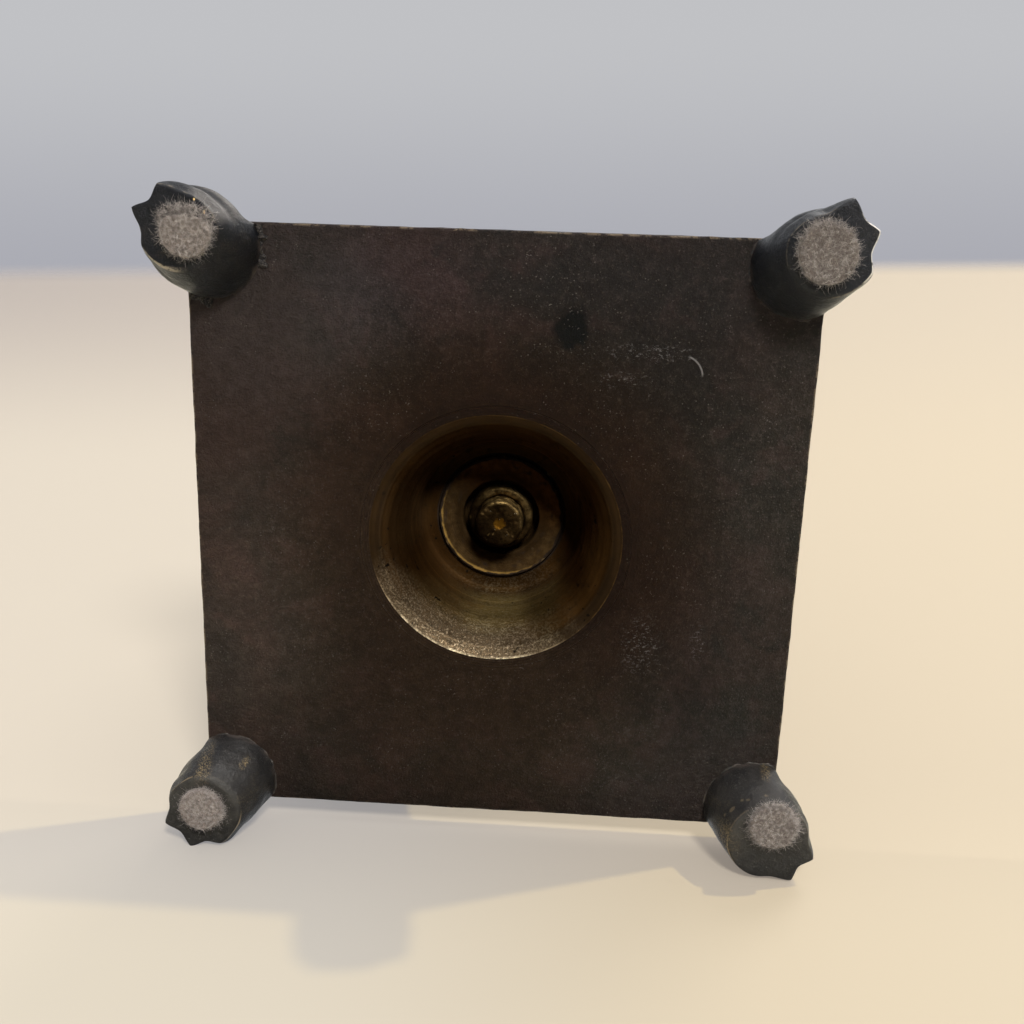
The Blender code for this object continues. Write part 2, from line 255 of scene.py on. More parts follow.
class Nodes:
    """A node tree, with short calls for the nodes that the finishes and the world share."""

    def __init__(self, tree):
        self.tree = tree
        self.coordinates = tree.nodes.new("ShaderNodeTexCoord").outputs
        self.place = self.coordinates["Object"]

    def node(self, kind, inputs, **settings):
        made = self.tree.nodes.new(kind)
        for name, value in settings.items():
            setattr(made, name, value)
        for key, value in inputs.items():
            self.feed(made.inputs[key], value)
        return made

    def out(self, kind, output, inputs=None, **settings):
        return Value(self, self.node(kind, inputs or {}, **settings).outputs[output])

    def feed(self, socket, value):
        value = value.socket if isinstance(value, Value) else value
        if isinstance(value, bpy.types.NodeSocket):
            self.tree.links.new(value, socket)
        else:
            socket.default_value = value

    def math(self, kind, a, b=0.0):
        return self.out("ShaderNodeMath", 0, {0: a, 1: b}, operation=kind)

    def most(self, first, *others):
        for other in others:
            first = self.math("MAXIMUM", first, other)
        return first

    def band(self, value, low, high, to_low=0.0, to_high=1.0, kind="SMOOTHSTEP"):
        ends = {"Value": value, "From Min": low, "From Max": high, "To Min": to_low, "To Max": to_high}
        return self.out("ShaderNodeMapRange", "Result", ends, interpolation_type=kind)

    def mix(self, share, a, b, kind="MIX"):
        a, b = ((*value, 1.0) if isinstance(value, tuple) else value for value in (a, b))
        return self.node("ShaderNodeMix", {0: share, 6: a, 7: b}, data_type="RGBA", blend_type=kind).outputs[2]

    def split(self, vector):
        return [Value(self, part) for part in self.node("ShaderNodeSeparateXYZ", {"Vector": vector}).outputs]

    def dot(self, a, b):
        return self.out("ShaderNodeVectorMath", "Value", {0: a, 1: b}, operation="DOT_PRODUCT")


class Finish(Nodes):
    """A material's node tree. Its colour is built up in layers."""

    def __init__(self, name):
        self.material = bpy.data.materials.new(name)
        self.material.use_nodes = True
        super().__init__(self.material.node_tree)
        self.shader = self.tree.nodes["Principled BSDF"]
        self.output = self.tree.nodes["Material Output"]
        self.xyz = self.x, self.y, self.z = self.split(self.place)
        self.axis = self.math("SQRT", self.x * self.x + self.y * self.y)

    def set(self, **values):
        for name, value in values.items():
            self.feed(self.shader.inputs[name.replace("_", " ")], value)

    def finish(self, **values):
        self.set(Base_Color=self.colour, **values)

    def lay(self, share, colour, kind="MIX"):
        self.colour = self.mix(share, self.colour, colour, kind)

    def tint(self, share, colour):
        self.lay(share, colour, "MULTIPLY")

    def noise(self, scale, detail=3.0, rough=0.5, place=None, warp=0.0):
        return self.out("ShaderNodeTexNoise", "Fac", {
            "Vector": place or self.place, "Scale": scale, "Detail": detail, "Roughness": rough, "Distortion": warp,
        })

    def lines(self, along, scale, detail):
        inputs = {"W": along * scale, "Scale": 1.0, "Detail": detail}
        return self.out("ShaderNodeTexNoise", "Fac", inputs, noise_dimensions="1D")

    def cells(self, scale):
        return self.out("ShaderNodeTexVoronoi", "Distance", {"Vector": self.place, "Scale": scale})

    def stretched(self, scale, turn=(0.0, 0.0, 0.0)):
        return self.node("ShaderNodeMapping", {"Vector": self.place, "Scale": scale, "Rotation": turn}).outputs[0]

    def facing(self, x, y):
        """Cosine of the angle between a point's direction from the stem and (x, y)."""
        return (self.x * x + self.y * y) / self.most(self.axis, 0.0001)

    def near(self, x, y, radius_x, radius_y, soft=0.35, rough=0.0, scale=600.0):
        """1 inside an ellipse on the plate, 0 outside it, with a ragged edge."""
        u, v = (self.x - x) / radius_x, (self.y - y) / radius_y
        far = self.math("SQRT", u * u + v * v)
        if rough:
            far += (self.noise(scale) - 0.5) * rough
        return self.band(far, 1.0 - soft, 1.0 + soft, 1.0, 0.0)

    def edge_wear(self, low, high, scale=500.0, amount=0.06):
        """Where the metal shows on convex edges: the mesh's pointiness, broken up by noise."""
        sharp = self.out("ShaderNodeNewGeometry", "Pointiness")
        return self.band(sharp + (self.noise(scale, 4.0) - 0.5) * amount, low, high)

    def bumps(self, *layers):
        """Stacks bump nodes from (height, distance in metres, strength)."""
        normal = None
        for height, distance, strength in layers:
            inputs = {"Height": height, "Distance": distance, "Strength": strength}
            if normal is not None:
                inputs["Normal"] = normal
            normal = self.node("ShaderNodeBump", inputs).outputs["Normal"]
        self.set(Normal=normal)


def plate_finish():
    """Sand-cast bronze under a dark brown patina, cloudy and finely pitted, with dust in the scratches."""
    f = Finish("plate_patina")
    axis = f.axis
    x, y, z = f.xyz
    under = f.band(z, UNDER + 0.0004, UNDER + 0.0012, 1.0, 0.0)
    cloud = f.noise(24.0, 4.0, 0.6, warp=0.5)
    patch = f.noise(95.0, 5.0, 0.65, warp=0.6)
    fine = f.noise(700.0, 5.0, 0.75)
    grain = f.noise(2400.0, 3.0, 0.7)
    f.colour = f.mix(f.band(cloud, 0.38, 0.6), (0.047, 0.028, 0.0215), (0.025, 0.0205, 0.0155))
    f.lay(f.band(patch, 0.5, 0.66, 0.0, 0.75), (0.06, 0.035, 0.029))
    f.lay(f.band(patch, 0.46, 0.32, 0.0, 0.7), (0.015, 0.015, 0.012))

    def blot(*place):
        return under * f.near(*place, 0.7, 0.8, 60.0)

    for where, colour in (
        (f.band(x, -0.02, -0.05, 0.0, 0.34), (0.06, 0.043, 0.037)),
        (f.band(x, 0.0, 0.045, 0.0, 0.55), (0.021, 0.018, 0.016)),
        (f.band(y, -0.026, -0.05, 0.0, 0.45), (0.027, 0.0235, 0.025)),
        (f.band(axis, 0.048, 0.024, 0.0, 0.8), (0.03, 0.016, 0.0068)),
    ):
        f.lay(under * where, colour)
    f.lay(blot(-0.04, -0.042, 0.016, 0.016) * 0.4, (0.07, 0.059, 0.057))
    f.tint(blot(0.012, -0.032, 0.026, 0.014) * 0.55, (0.62, 0.6, 0.58))
    f.lay(blot(-0.004, 0.04, 0.03, 0.018) * 0.65, (0.03, 0.0165, 0.007))
    f.tint(f.band(fine, 0.4, 0.6, 0.45, 0.0), (0.4, 0.4, 0.4))
    f.lay(f.band(fine, 0.54, 0.72, 0.0, 0.4), (0.066, 0.05, 0.043))
    f.lay(f.band(grain, 0.56, 0.7, 0.0, 0.5), (0.085, 0.068, 0.058))
    turned_marks = f.lines(axis, 5200.0, 2.0)
    turned_zone = under * f.band(axis, LIP_R + 0.0016, LIP_R - 0.0004)
    f.lay(turned_zone * f.band(turned_marks, 0.5, 0.62, 0.0, 0.4), (0.09, 0.06, 0.033))
    # Darker and browner round the hollow, most of all to the front right
    front_right = f.facing(0.7, -0.71)
    shade = f.band(axis, LIP_R + 0.003, LIP_R - 0.001) * f.band(front_right, -0.75, 0.2, 0.25, 0.95)
    f.tint(under * shade, (0.52, 0.43, 0.36))
    f.tint(under * f.band(axis, 0.043, 0.026) * f.band(front_right, -0.5, 0.4, 0.15, 0.85), (0.64, 0.5, 0.38))
    for place, tint in (
        ((0.052, 0.0, 0.012, 0.04), (1.45, 1.5, 1.5)),
        ((-0.044, 0.014, 0.013, 0.024), (1.55, 1.55, 1.5)),
        ((0.036, 0.046, 0.02, 0.012), (1.3, 1.45, 1.55)),
        ((-0.016, -0.043, 0.012, 0.01), (1.35, 1.28, 1.38)),
    ):
        f.tint(blot(*place), tint)
    stain = under * f.near(0.0123, -0.0388, 0.003, 0.0033, 0.28, 1.3, 480.0)
    f.lay(stain * 0.92, (0.004, 0.0046, 0.0042))
    dust = f.band(f.cells(1100.0), 0.17, 0.06) * f.band(f.noise(210.0, 4.0), 0.5, 0.62)
    crumbs = f.band(f.noise(2300.0, 2.0), 0.685, 0.73) * f.band(f.noise(60.0, 3.0), 0.5, 0.64)
    dust = f.most(dust, crumbs)
    f.lay(dust * 0.6, (0.22, 0.195, 0.175))
    f.tint(f.band(f.noise(13.0, 2.0), 0.42, 0.62, 0.3, 0.0), (0.6, 0.58, 0.56))
    streak = f.noise(1.0, 4.0, 0.7, place=f.stretched((1500.0, 2600.0, 700.0), (0.0, 0.0, 0.25)))
    rows = f.most(*(f.near(*spot) for spot in (
        (0.027, -0.0352, 0.0072, 0.0016, 0.5, 1.1), (0.0215, -0.0303, 0.0042, 0.0012, 0.5, 1.0),
        (0.0275, 0.019, 0.003, 0.0052, 0.6, 1.2), (0.0382, 0.0178, 0.0012, 0.003, 0.6, 1.0),
        (-0.04, 0.041, 0.0022, 0.0016, 0.6, 1.0),
    )))
    # One curved scratch: part of a circle
    px, py = x - 0.0315, y + 0.0312
    bow = f.band(abs(f.math("SQRT", px * px + py * py) - 0.0038), 0.00022, 0.00006)
    bow = bow * f.near(0.0344, -0.0336, 0.0019, 0.0023, 0.2, 0.5)
    scuffs = under * f.most(f.band(streak, 0.555, 0.64) * rows * 0.5, bow * 0.8)
    f.lay(scuffs * 0.85, (0.3, 0.285, 0.28))
    edge = SIDE / 2 - f.most(abs(x), abs(y))
    worn = f.band(edge, 0.0005, 0.00018) * f.band(f.noise(330.0, 5.0, 0.75), 0.47, 0.56)
    arris = f.most(f.band(z, UNDER + 0.0007, UNDER + 0.0002), f.band(z, PLATE_HIGH.z - 0.0007, PLATE_HIGH.z - 0.0002))
    f.lay(worn * arris * 0.75, (0.21, 0.16, 0.11))
    rough = f.band(f.noise(240.0, 4.0, 0.6), 0.3, 0.7, 0.48, 0.68) + dust * 0.2
    f.finish(Roughness=rough, Metallic=0.7, Specular_IOR_Level=0.25)
    f.bumps(
        (f.noise(120.0, 3.0), 0.0014, 0.35),
        (fine, 0.0009, 0.95),
        (grain, 0.0003, 0.95),
        (scuffs, 0.0001, 0.5),
    )
    return f.material


def foot_finish():
    """Smooth cast bronze, blue-black in front and dustier behind, rubbed to gold where handling wore its edges, with
    painted highlights on some sole edges and painted light and shadow on the front left foot.
    """
    f = Finish("foot_patina")
    x, y, z = f.xyz
    lean = f.split(f.out("ShaderNodeNewGeometry", "Normal"))[2]
    behind = f.band(y, -0.02, 0.02)
    cloud = f.noise(240.0, 5.0, 0.65, warp=0.5)
    f.colour = f.mix(f.band(cloud, 0.4, 0.62), (0.0085, 0.0088, 0.01), (0.017, 0.016, 0.016))
    f.lay(f.band(f.noise(90.0, 3.0), 0.56, 0.7, 0.0, 0.45), (0.03, 0.024, 0.018))
    haze = f.band(f.noise(330.0, 5.0, 0.7, warp=0.4), 0.34, 0.62, 0.35, 1.0)
    haze = haze * behind * f.band(x, -0.03, 0.03, 0.26, 0.55)
    f.lay(haze, (0.046, 0.04, 0.034))
    grit = f.band(f.noise(3400.0, 3.0, 0.7), 0.56, 0.66)
    dusty = f.band(f.noise(170.0, 4.0, 0.6), 0.47, 0.62, 0.03, 0.3)
    f.lay(grit * dusty, (0.15, 0.135, 0.125))
    # Patches of fine gold specks, where the casting was rubbed
    speck = f.band(f.noise(3600.0, 3.0, 0.8), 0.5, 0.58)
    patchy = f.band(f.noise(130.0, 3.0, 0.6), 0.585, 0.66) * 0.18
    patchy = f.most(patchy, *(f.near(*place, 0.6, 1.0, 800.0) for place in (
        (-0.0536, 0.0464, 0.0013, 0.0032), (-0.0466, 0.0455, 0.0007, 0.0007),
        (0.0453, 0.0543, 0.0022, 0.0034), (0.0525, 0.0423, 0.0009, 0.0007),
    )))
    f.lay(patchy * speck * 0.75, (0.28, 0.205, 0.105))
    # Lines of worn metal along the sole's edge, partly painted highlights that stand in for glints on those worn edges
    sole_edge = f.band(z, SOLE + 0.0007, SOLE + 0.00035)
    bevel = f.band(abs(lean + 0.62), 0.17, 0.07) * sole_edge
    wide_bevel = f.band(lean, -0.978, -0.94) * f.band(lean, -0.3, -0.45) * sole_edge
    rubbed = bevel * f.band(f.noise(330.0, 5.0, 0.85), 0.47, 0.57, 0.0, 0.7)
    handled_and_glinting = f.most(*(f.near(*place, 0.35, 0.8, 500.0) for place in (
        (-0.0566, -0.0468, 0.0036, 0.0036), (0.06, -0.0548, 0.0032, 0.0066),
        (-0.0478, 0.057, 0.0032, 0.0036), (0.0475, 0.057, 0.0046, 0.0046),
    ))) * f.band(f.noise(900.0, 4.0, 0.8), 0.36, 0.5)
    worn = f.edge_wear(0.6, 0.68, 3600.0, 0.1)
    f.lay(f.most(worn * 0.3, rubbed), (0.27, 0.2, 0.115))
    line = wide_bevel * (1.0 - behind) + bevel * behind
    # The front right's cream colour is a painted highlight, a glint along its sole's edge
    bare_and_lit = f.mix(f.band(x, -0.02, 0.02), (0.48, 0.37, 0.23), f.mix(behind, (1.0, 0.86, 0.64), (0.52, 0.39, 0.22)))
    f.lay(line * handled_and_glinting * 0.9, bare_and_lit)
    f.tint(f.band(y, 0.02, -0.02, 0.0, 0.8), (0.64, 0.74, 0.98))
    # The front left foot is painted lighter above, painted light on its top, and dark below, a painted shadow where its
    # shadow lies
    lit = f.near(-0.0465, -0.0585, 0.005, 0.0038, 0.25, 0.5, 300.0) * f.band(lean, -0.8, -0.5)
    f.lay(lit * 0.7, (0.095, 0.086, 0.08))
    f.tint(f.near(-0.0455, -0.0495, 0.0045, 0.004, 0.35, 0.6, 400.0), (0.55, 0.5, 0.48))
    for at_x, at_y, size in ((-0.0501, -0.0584, 0.00015), (-0.0485, -0.0564, 0.0002)):
        chip = f.near(at_x, at_y, size, size * 1.3, 0.25, 0.6, 2500.0)
        f.lay(chip * sole_edge, (0.95, 0.66, 0.25))
    sole = f.band(lean, -0.6, -0.92) * behind * 0.8
    f.lay(sole * f.band(f.noise(520.0, 4.0, 0.7), 0.36, 0.62, 0.55, 1.0), (0.066, 0.062, 0.055))
    fleck = f.band(f.noise(1500.0, 4.0, 0.8), 0.6, 0.66) * f.band(f.noise(240.0, 2.0), 0.5, 0.6)
    f.lay(fleck * sole * 1.2, (0.23, 0.22, 0.2))
    root = f.band(z, UNDER - 0.0012, UNDER - 0.0003) * f.band(f.noise(420.0, 4.0, 0.7), 0.42, 0.58, 0.0, 0.45)
    f.lay(root, (0.09, 0.068, 0.056))
    rough = f.band(f.noise(420.0, 4.0, 0.6), 0.3, 0.7, 0.3, 0.52)
    f.finish(Roughness=rough, Metallic=0.45, Specular_IOR_Level=0.45)
    f.bumps(
        (f.noise(260.0, 3.0), 0.0007, 0.4),
        (f.noise(1300.0, 5.0, 0.7), 0.00022, 0.8),
        (grit, 0.00004, 0.6),
    )
    return f.material


def solder_finish():
    f = Finish("solder_grit")
    grain = f.noise(1900.0, 4.0, 0.75)
    f.colour = f.mix(f.band(grain, 0.42, 0.66), (0.009, 0.0085, 0.009), (0.07, 0.06, 0.053))
    f.lay(f.band(f.noise(3800.0, 2.0), 0.6, 0.68, 0.0, 0.7), (0.19, 0.17, 0.155))
    f.finish(Roughness=0.55, Metallic=0.35, Specular_IOR_Level=0.35)
    f.bumps((grain, 0.0004, 0.9), (f.noise(4000.0, 2.0), 0.0001, 0.6))
    return f.material


def bell_finish():
    """Turned brass, patinated where it shows on top. Its hollow is painted with light and shade: grainy and bright at
    the mouth on the lit side, dark brown elsewhere, and dark and brown deep down, partly old patina and partly painted
    shade.
    """
    f = Finish("bell_brass")
    axis = f.axis
    x, y, z = f.xyz
    depth = z - UNDER
    along = axis + z * 0.8
    lines = f.lines(along, 4200.0, 3.0)
    wide = f.lines(along, 900.0, 1.0)
    cloud = f.noise(150.0, 4.0, 0.6)
    blotch = (f.noise(210.0, 4.0, 0.6) - 0.5) * 0.55
    # Painted light and shade in the hollow: a lit copy of the brass, grainy, at the back and back left where the light
    # falls, and a shaded brown copy elsewhere
    toward = x * f.band(depth, 0.001, 0.011, -0.3, 0.14) + y * 0.95
    bare_and_lit = f.band(toward / f.most(axis, 0.0001) + blotch, 0.4, 1.0)
    aged_and_shaded = f.mix(f.band(depth, 0.0012, 0.0022), (0.033, 0.0185, 0.008), (0.115, 0.056, 0.015))
    # Painted shade down the left side of the hollow and over its floor there
    shaded = f.band(f.facing(-1.0, 0.1), 0.45, 0.9) * f.band(depth, 0.0015, 0.0035)
    aged_and_shaded = f.mix(f.band(depth, 0.016, 0.0178), aged_and_shaded, (0.09, 0.04, 0.007))
    aged_and_shaded = f.mix(shaded * 0.75, aged_and_shaded, (0.026, 0.011, 0.003))
    # Painted light: the front side, deeper down, lightened for the light that bounces onto it
    upper = f.band(depth, 0.0045, 0.011) * f.band(f.facing(-0.15, -0.99), -0.2, 0.65)
    aged_and_shaded = f.mix(upper, aged_and_shaded, (1.8, 2.0, 2.4), "MULTIPLY")
    # The lit copy darkens deep down: painted shade in the recess round the boss
    bright = f.mix(f.band(depth, 0.002, 0.0065), (0.118, 0.083, 0.048), (0.095, 0.062, 0.0215))
    bright = f.mix(f.band(depth, 0.012, 0.0165), bright, (0.027, 0.0125, 0.0026))
    f.colour = f.mix(bare_and_lit, aged_and_shaded, bright)
    f.tint(f.band(cloud, 0.36, 0.64, 0.45, 0.0), (0.55, 0.52, 0.48))
    f.tint(f.band(lines, 0.4, 0.64, 0.0, 0.45), (0.5, 0.48, 0.45))
    f.tint(f.band(wide, 0.54, 0.66, 0.0, 0.25), (2.2, 2.2, 2.2))
    # Bright grit at the mouth, mostly on the lit side: grain with painted glints
    grit = f.band(f.noise(2600.0, 3.0, 0.75), 0.47, 0.6)
    mouth = f.band(depth, 0.0075, 0.0006, 0.12, 1.0) * bare_and_lit
    f.lay(grit * mouth * 0.8, (0.35, 0.273, 0.178))
    tarnish = f.band(f.noise(420.0, 5.0, 0.7), 0.55, 0.68, 0.0, 0.55)
    f.lay(tarnish, (0.024, 0.0135, 0.005))
    nicks = f.band(f.noise(900.0, 3.0), 0.655, 0.69) * f.band(f.noise(190.0, 1.0), 0.5, 0.56)
    f.lay(nicks, (0.005, 0.004, 0.003))
    # Painted light and shade: patches of the hollow lightened and darkened where it is lit and shaded
    for place, tint in (
        ((0.0, 0.0168, 0.005, 0.0024), (1.9, 2.1, 2.1)),
        ((0.014, 0.0072, 0.003, 0.004), (0.42, 0.36, 0.32)),
        ((0.0099, 0.0165, 0.0035, 0.003), (0.72, 0.74, 0.66)),
        ((-0.018, -0.002, 0.003, 0.006), (1.45, 1.65, 2.2)),
    ):
        f.tint(f.near(*place, 0.7, 0.8, 330.0), tint)
    boss = f.band(axis, BOSS_R + 0.0002, BOSS_R) * f.band(depth, 0.1 * SIDE, 0.11 * SIDE)
    face = f.mix(f.band(f.noise(620.0, 5.0, 0.7), 0.38, 0.64), (0.06, 0.034, 0.012), (0.1, 0.06, 0.023))
    # Darker round the counterbore: dirt and painted shadow
    face = f.mix(f.band(axis, 0.0104, 0.0084, 0.0, 0.72), face, (0.016, 0.008, 0.0026))
    # Painted light on the boss face's upper right, lightened for the light that bounces into its shade
    face = f.mix(f.band(f.facing(0.4, -0.92), 0.0, 0.8), face, (2.6, 2.0, 1.5), "MULTIPLY")
    f.lay(boss, face)
    # A ring of worn metal round the boss face's edge, with painted light: wider and brighter to the lower left where
    # the light falls, fainter to the upper right in shade
    ragged = axis + (f.noise(900.0, 5.0, 0.7) - 0.5) * 0.0006
    lit_side_of_ring = f.band(f.facing(-0.62, 0.78), -0.1, 0.85, 0.0, 1.0)
    inner = BOSS_R - 0.0004 - lit_side_of_ring * 0.00042
    rubbed = f.band(ragged - inner, -0.00022, 0.00022)
    rubbed = rubbed * boss * f.band(f.facing(0.35, -0.94), 0.35, 0.95, 1.0, 0.3)
    gold = f.mix(lit_side_of_ring, (0.29, 0.175, 0.052), (0.5, 0.31, 0.085))
    f.lay(rubbed * 0.9, gold)
    # The mouth's fine bright line of worn metal, with painted light: wider and creamier on the lit side
    rim = f.band(MOUTH_R - axis, f.band(bare_and_lit, 0.0, 1.0, 0.00028, 0.0005), 0.0001)
    rim = rim * f.band(depth, 0.0012, 0.0006) * f.band(f.noise(330.0, 5.0, 0.8), 0.4, 0.6, 0.1, 1.0)
    rim = rim * f.most(bare_and_lit, f.band(f.facing(0.85, -0.52), -0.45, 0.55, 0.05, 0.38))
    patina = f.mix(f.band(cloud, 0.4, 0.6), (0.021, 0.0145, 0.0105), (0.036, 0.025, 0.0185))
    patina = f.mix(f.band(f.noise(700.0, 5.0, 0.75), 0.48, 0.7, 0.0, 0.6), patina, (0.062, 0.045, 0.035))
    worn = f.edge_wear(0.54, 0.62, 700.0, 0.08)
    patina = f.mix(worn * 0.6, patina, (0.24, 0.165, 0.078))
    above = f.band(z, PLATE_HIGH.z - 0.0002, PLATE_HIGH.z + 0.0002)
    flat = f.out("ShaderNodeCombineXYZ", 0, {"X": x, "Y": y})
    outward = f.dot(f.out("ShaderNodeNewGeometry", "Normal"), flat)
    outside = above * f.most(f.band(outward, 0.0, 0.0006), f.band(axis, LIP_R + 0.0002, LIP_R + 0.0006))
    f.lay(outside, patina)
    # The rim's line is cream on the lit side: painted light
    f.lay(rim * 0.9, f.mix(bare_and_lit, (0.3, 0.17, 0.055), (1.0, 0.84, 0.56)))
    deep = f.band(depth, 0.008, 0.0165)
    f.finish(
        Roughness=f.band(lines, 0.3, 0.7, 0.42, 0.56) + f.most(tarnish, deep) * 0.18,
        Metallic=f.band(outside, 0.0, 1.0, 0.75, 0.4) * f.band(f.most(deep, rubbed), 0.0, 1.0, 1.0, 0.6),
        Specular_IOR_Level=0.3, Specular_Tint=(0.7, 0.5, 0.3, 1.0),
    )
    f.bumps(
        (lines, 0.0001, 0.5),
        (grit * mouth, 0.00012, 0.9),
        (f.noise(700.0, 4.0, 0.65), 0.0002, 0.5),
    )
    return f.material


def fitting_finish():
    """The rod and its nut: brass darkened to brown, gritty, with an orange-brown centre mark, a painted glint on the
    upper right and painted shade on the lower left.
    """
    f = Finish("fitting_brass")
    axis = f.axis
    cloud = f.noise(520.0, 5.0, 0.65)
    f.colour = f.mix(f.band(cloud, 0.38, 0.62), (0.022, 0.012, 0.0042), (0.056, 0.033, 0.012))
    f.lay(f.band(f.noise(2200.0, 4.0, 0.7), 0.52, 0.66, 0.0, 0.6), (0.009, 0.005, 0.0022))
    # Painted highlight: gold glints on the upper right of the rod's threads and the nut
    collar = f.band(axis, ROD_R - 0.0008, ROD_R - 0.0004)
    painted_glint = collar * f.band(f.facing(0.45, -0.89), 0.1, 0.9)
    painted_glint = painted_glint * f.band(f.noise(760.0, 4.0, 0.7), 0.4, 0.62, 0.15, 1.0)
    f.lay(painted_glint * 0.9, (0.32, 0.215, 0.082))
    # Painted shade on the lower left of the rod end and the nut
    painted_shade_side = f.band(f.facing(-0.8, 0.6), 0.0, 0.8) * f.band(axis, 0.001, 0.0022)
    f.lay(painted_shade_side * 0.75, (0.007, 0.0036, 0.0014))
    worn = f.edge_wear(0.555, 0.62, 1500.0, 0.08)
    f.lay(worn * 0.3, (0.34, 0.22, 0.085))
    ragged = axis + (f.noise(1100.0, 3.0) - 0.5) * 0.0018
    centre = f.band(ragged, 0.0014, 0.0008)
    f.lay(centre * 0.85, (0.23, 0.105, 0.01))
    fleck = f.band(f.noise(1700.0, 2.0), 0.72, 0.74)
    f.lay(fleck * f.band(axis, 0.0042, 0.0036), (0.56, 0.48, 0.34))
    f.finish(
        Roughness=f.band(cloud, 0.3, 0.7, 0.4, 0.62), Metallic=0.75,
        Specular_IOR_Level=0.25, Specular_Tint=(0.75, 0.52, 0.28, 1.0),
    )
    f.bumps((cloud, 0.0002, 0.7), (f.noise(2600.0, 3.0), 0.00008, 0.6))
    return f.material


def bronze_finish(name, dark, light, worn_colour, rough=(0.28, 0.44)):
    """Turned bronze with a satin patina, faint lathe rings, and worn metal along its beads and edges."""
    f = Finish(name)
    cloud = f.noise(60.0, 5.0, 0.6, warp=0.3)
    f.colour = f.mix(f.band(cloud, 0.38, 0.64), dark, light)
    streak = f.noise(1.0, 3.0, 0.6, place=f.stretched((220.0, 220.0, 60.0)))
    f.lay(f.band(streak, 0.54, 0.7, 0.0, 0.45), tuple(0.55 * c for c in dark))
    green = f.band(f.noise(170.0, 5.0, 0.7), 0.6, 0.72) * f.band(f.noise(30.0, 1.0), 0.48, 0.62)
    f.lay(green * 0.35, (0.03, 0.048, 0.036))
    f.lay(f.edge_wear(0.545, 0.63, 500.0, 0.05) * 0.9, worn_colour)
    f.lay(f.band(f.noise(420.0, 5.0, 0.7), 0.6, 0.74, 0.0, 0.35), worn_colour)
    f.finish(Roughness=f.band(cloud, 0.3, 0.7, *rough) + green * 0.2, Metallic=0.8)
    f.bumps(
        (f.noise(120.0, 3.0), 0.0006, 0.12),
        (f.noise(1400.0, 4.0, 0.6), 0.00006, 0.5),
        (f.lines(f.axis + f.z * 1.3, 3000.0, 2.0), 0.00004, 0.5),
    )
    return f.material


def felt_finish():
    f = Finish("felt_grey")
    tuft = f.noise(1500.0, 5.0, 0.8, warp=1.5)
    clump = f.noise(420.0, 4.0, 0.6)
    f.colour = f.mix(f.band(tuft, 0.36, 0.64), (0.09, 0.07, 0.059), (0.39, 0.33, 0.292))
    f.lay(f.band(clump, 0.4, 0.62, 0.0, 0.5), (0.21, 0.168, 0.145))
    f.lay(f.band(f.noise(240.0, 3.0), 0.55, 0.7, 0.0, 0.45), (0.11, 0.085, 0.072))
    # Painted light: pads on the left lightened and those on the right darkened, the back ones lightened more, for how
    # the light falls on each
    f.tint(1.0, f.mix(f.band(f.x, -0.04, 0.04), (1.3, 1.28, 1.27), (0.65, 0.61, 0.57)))
    f.tint(1.0, f.mix(f.band(f.y, -0.04, 0.04), (1.0, 1.0, 1.0), (1.22, 1.2, 1.18)))
    f.lay(f.band(f.z, 0.0004, 0.0014, 0.0, 0.5), (0.08, 0.064, 0.055))
    f.finish(Roughness=0.95, Metallic=0.0, Sheen_Weight=0.3, Sheen_Roughness=0.5)
    f.bumps((tuft, 0.0006, 1.0), (f.noise(4200.0, 2.0), 0.0002, 0.8))
    return f.material


def fibre_finish():
    f = Finish("felt_fibres")
    shade = f.noise(1400.0, 2.0)
    f.colour = f.mix(f.band(shade, 0.35, 0.65), (0.21, 0.173, 0.15), (0.5, 0.445, 0.405))
    f.finish(Roughness=0.9, Metallic=0.0, Sheen_Weight=0.2)
    return f.material


PLATE, FOOT, SOLDER, BELL, FITTING = plate_finish(), foot_finish(), solder_finish(), bell_finish(), fitting_finish()
STEM = bronze_finish("stem_bronze", (0.019, 0.015, 0.012), (0.044, 0.031, 0.021), (0.27, 0.18, 0.082))
BOWL = bronze_finish("bowl_bronze", (0.026, 0.0185, 0.013), (0.056, 0.037, 0.023), (0.3, 0.195, 0.085))
DOME = bronze_finish("dome_bronze", (0.021, 0.0175, 0.014), (0.05, 0.037, 0.024), (0.32, 0.225, 0.11))
KNOB = bronze_finish("knob_brass", (0.09, 0.06, 0.027), (0.2, 0.135, 0.062), (0.46, 0.33, 0.15), rough=(0.24, 0.4))
FELT, FIBRE = felt_finish(), fibre_finish()


# Plate -----------------------------------------

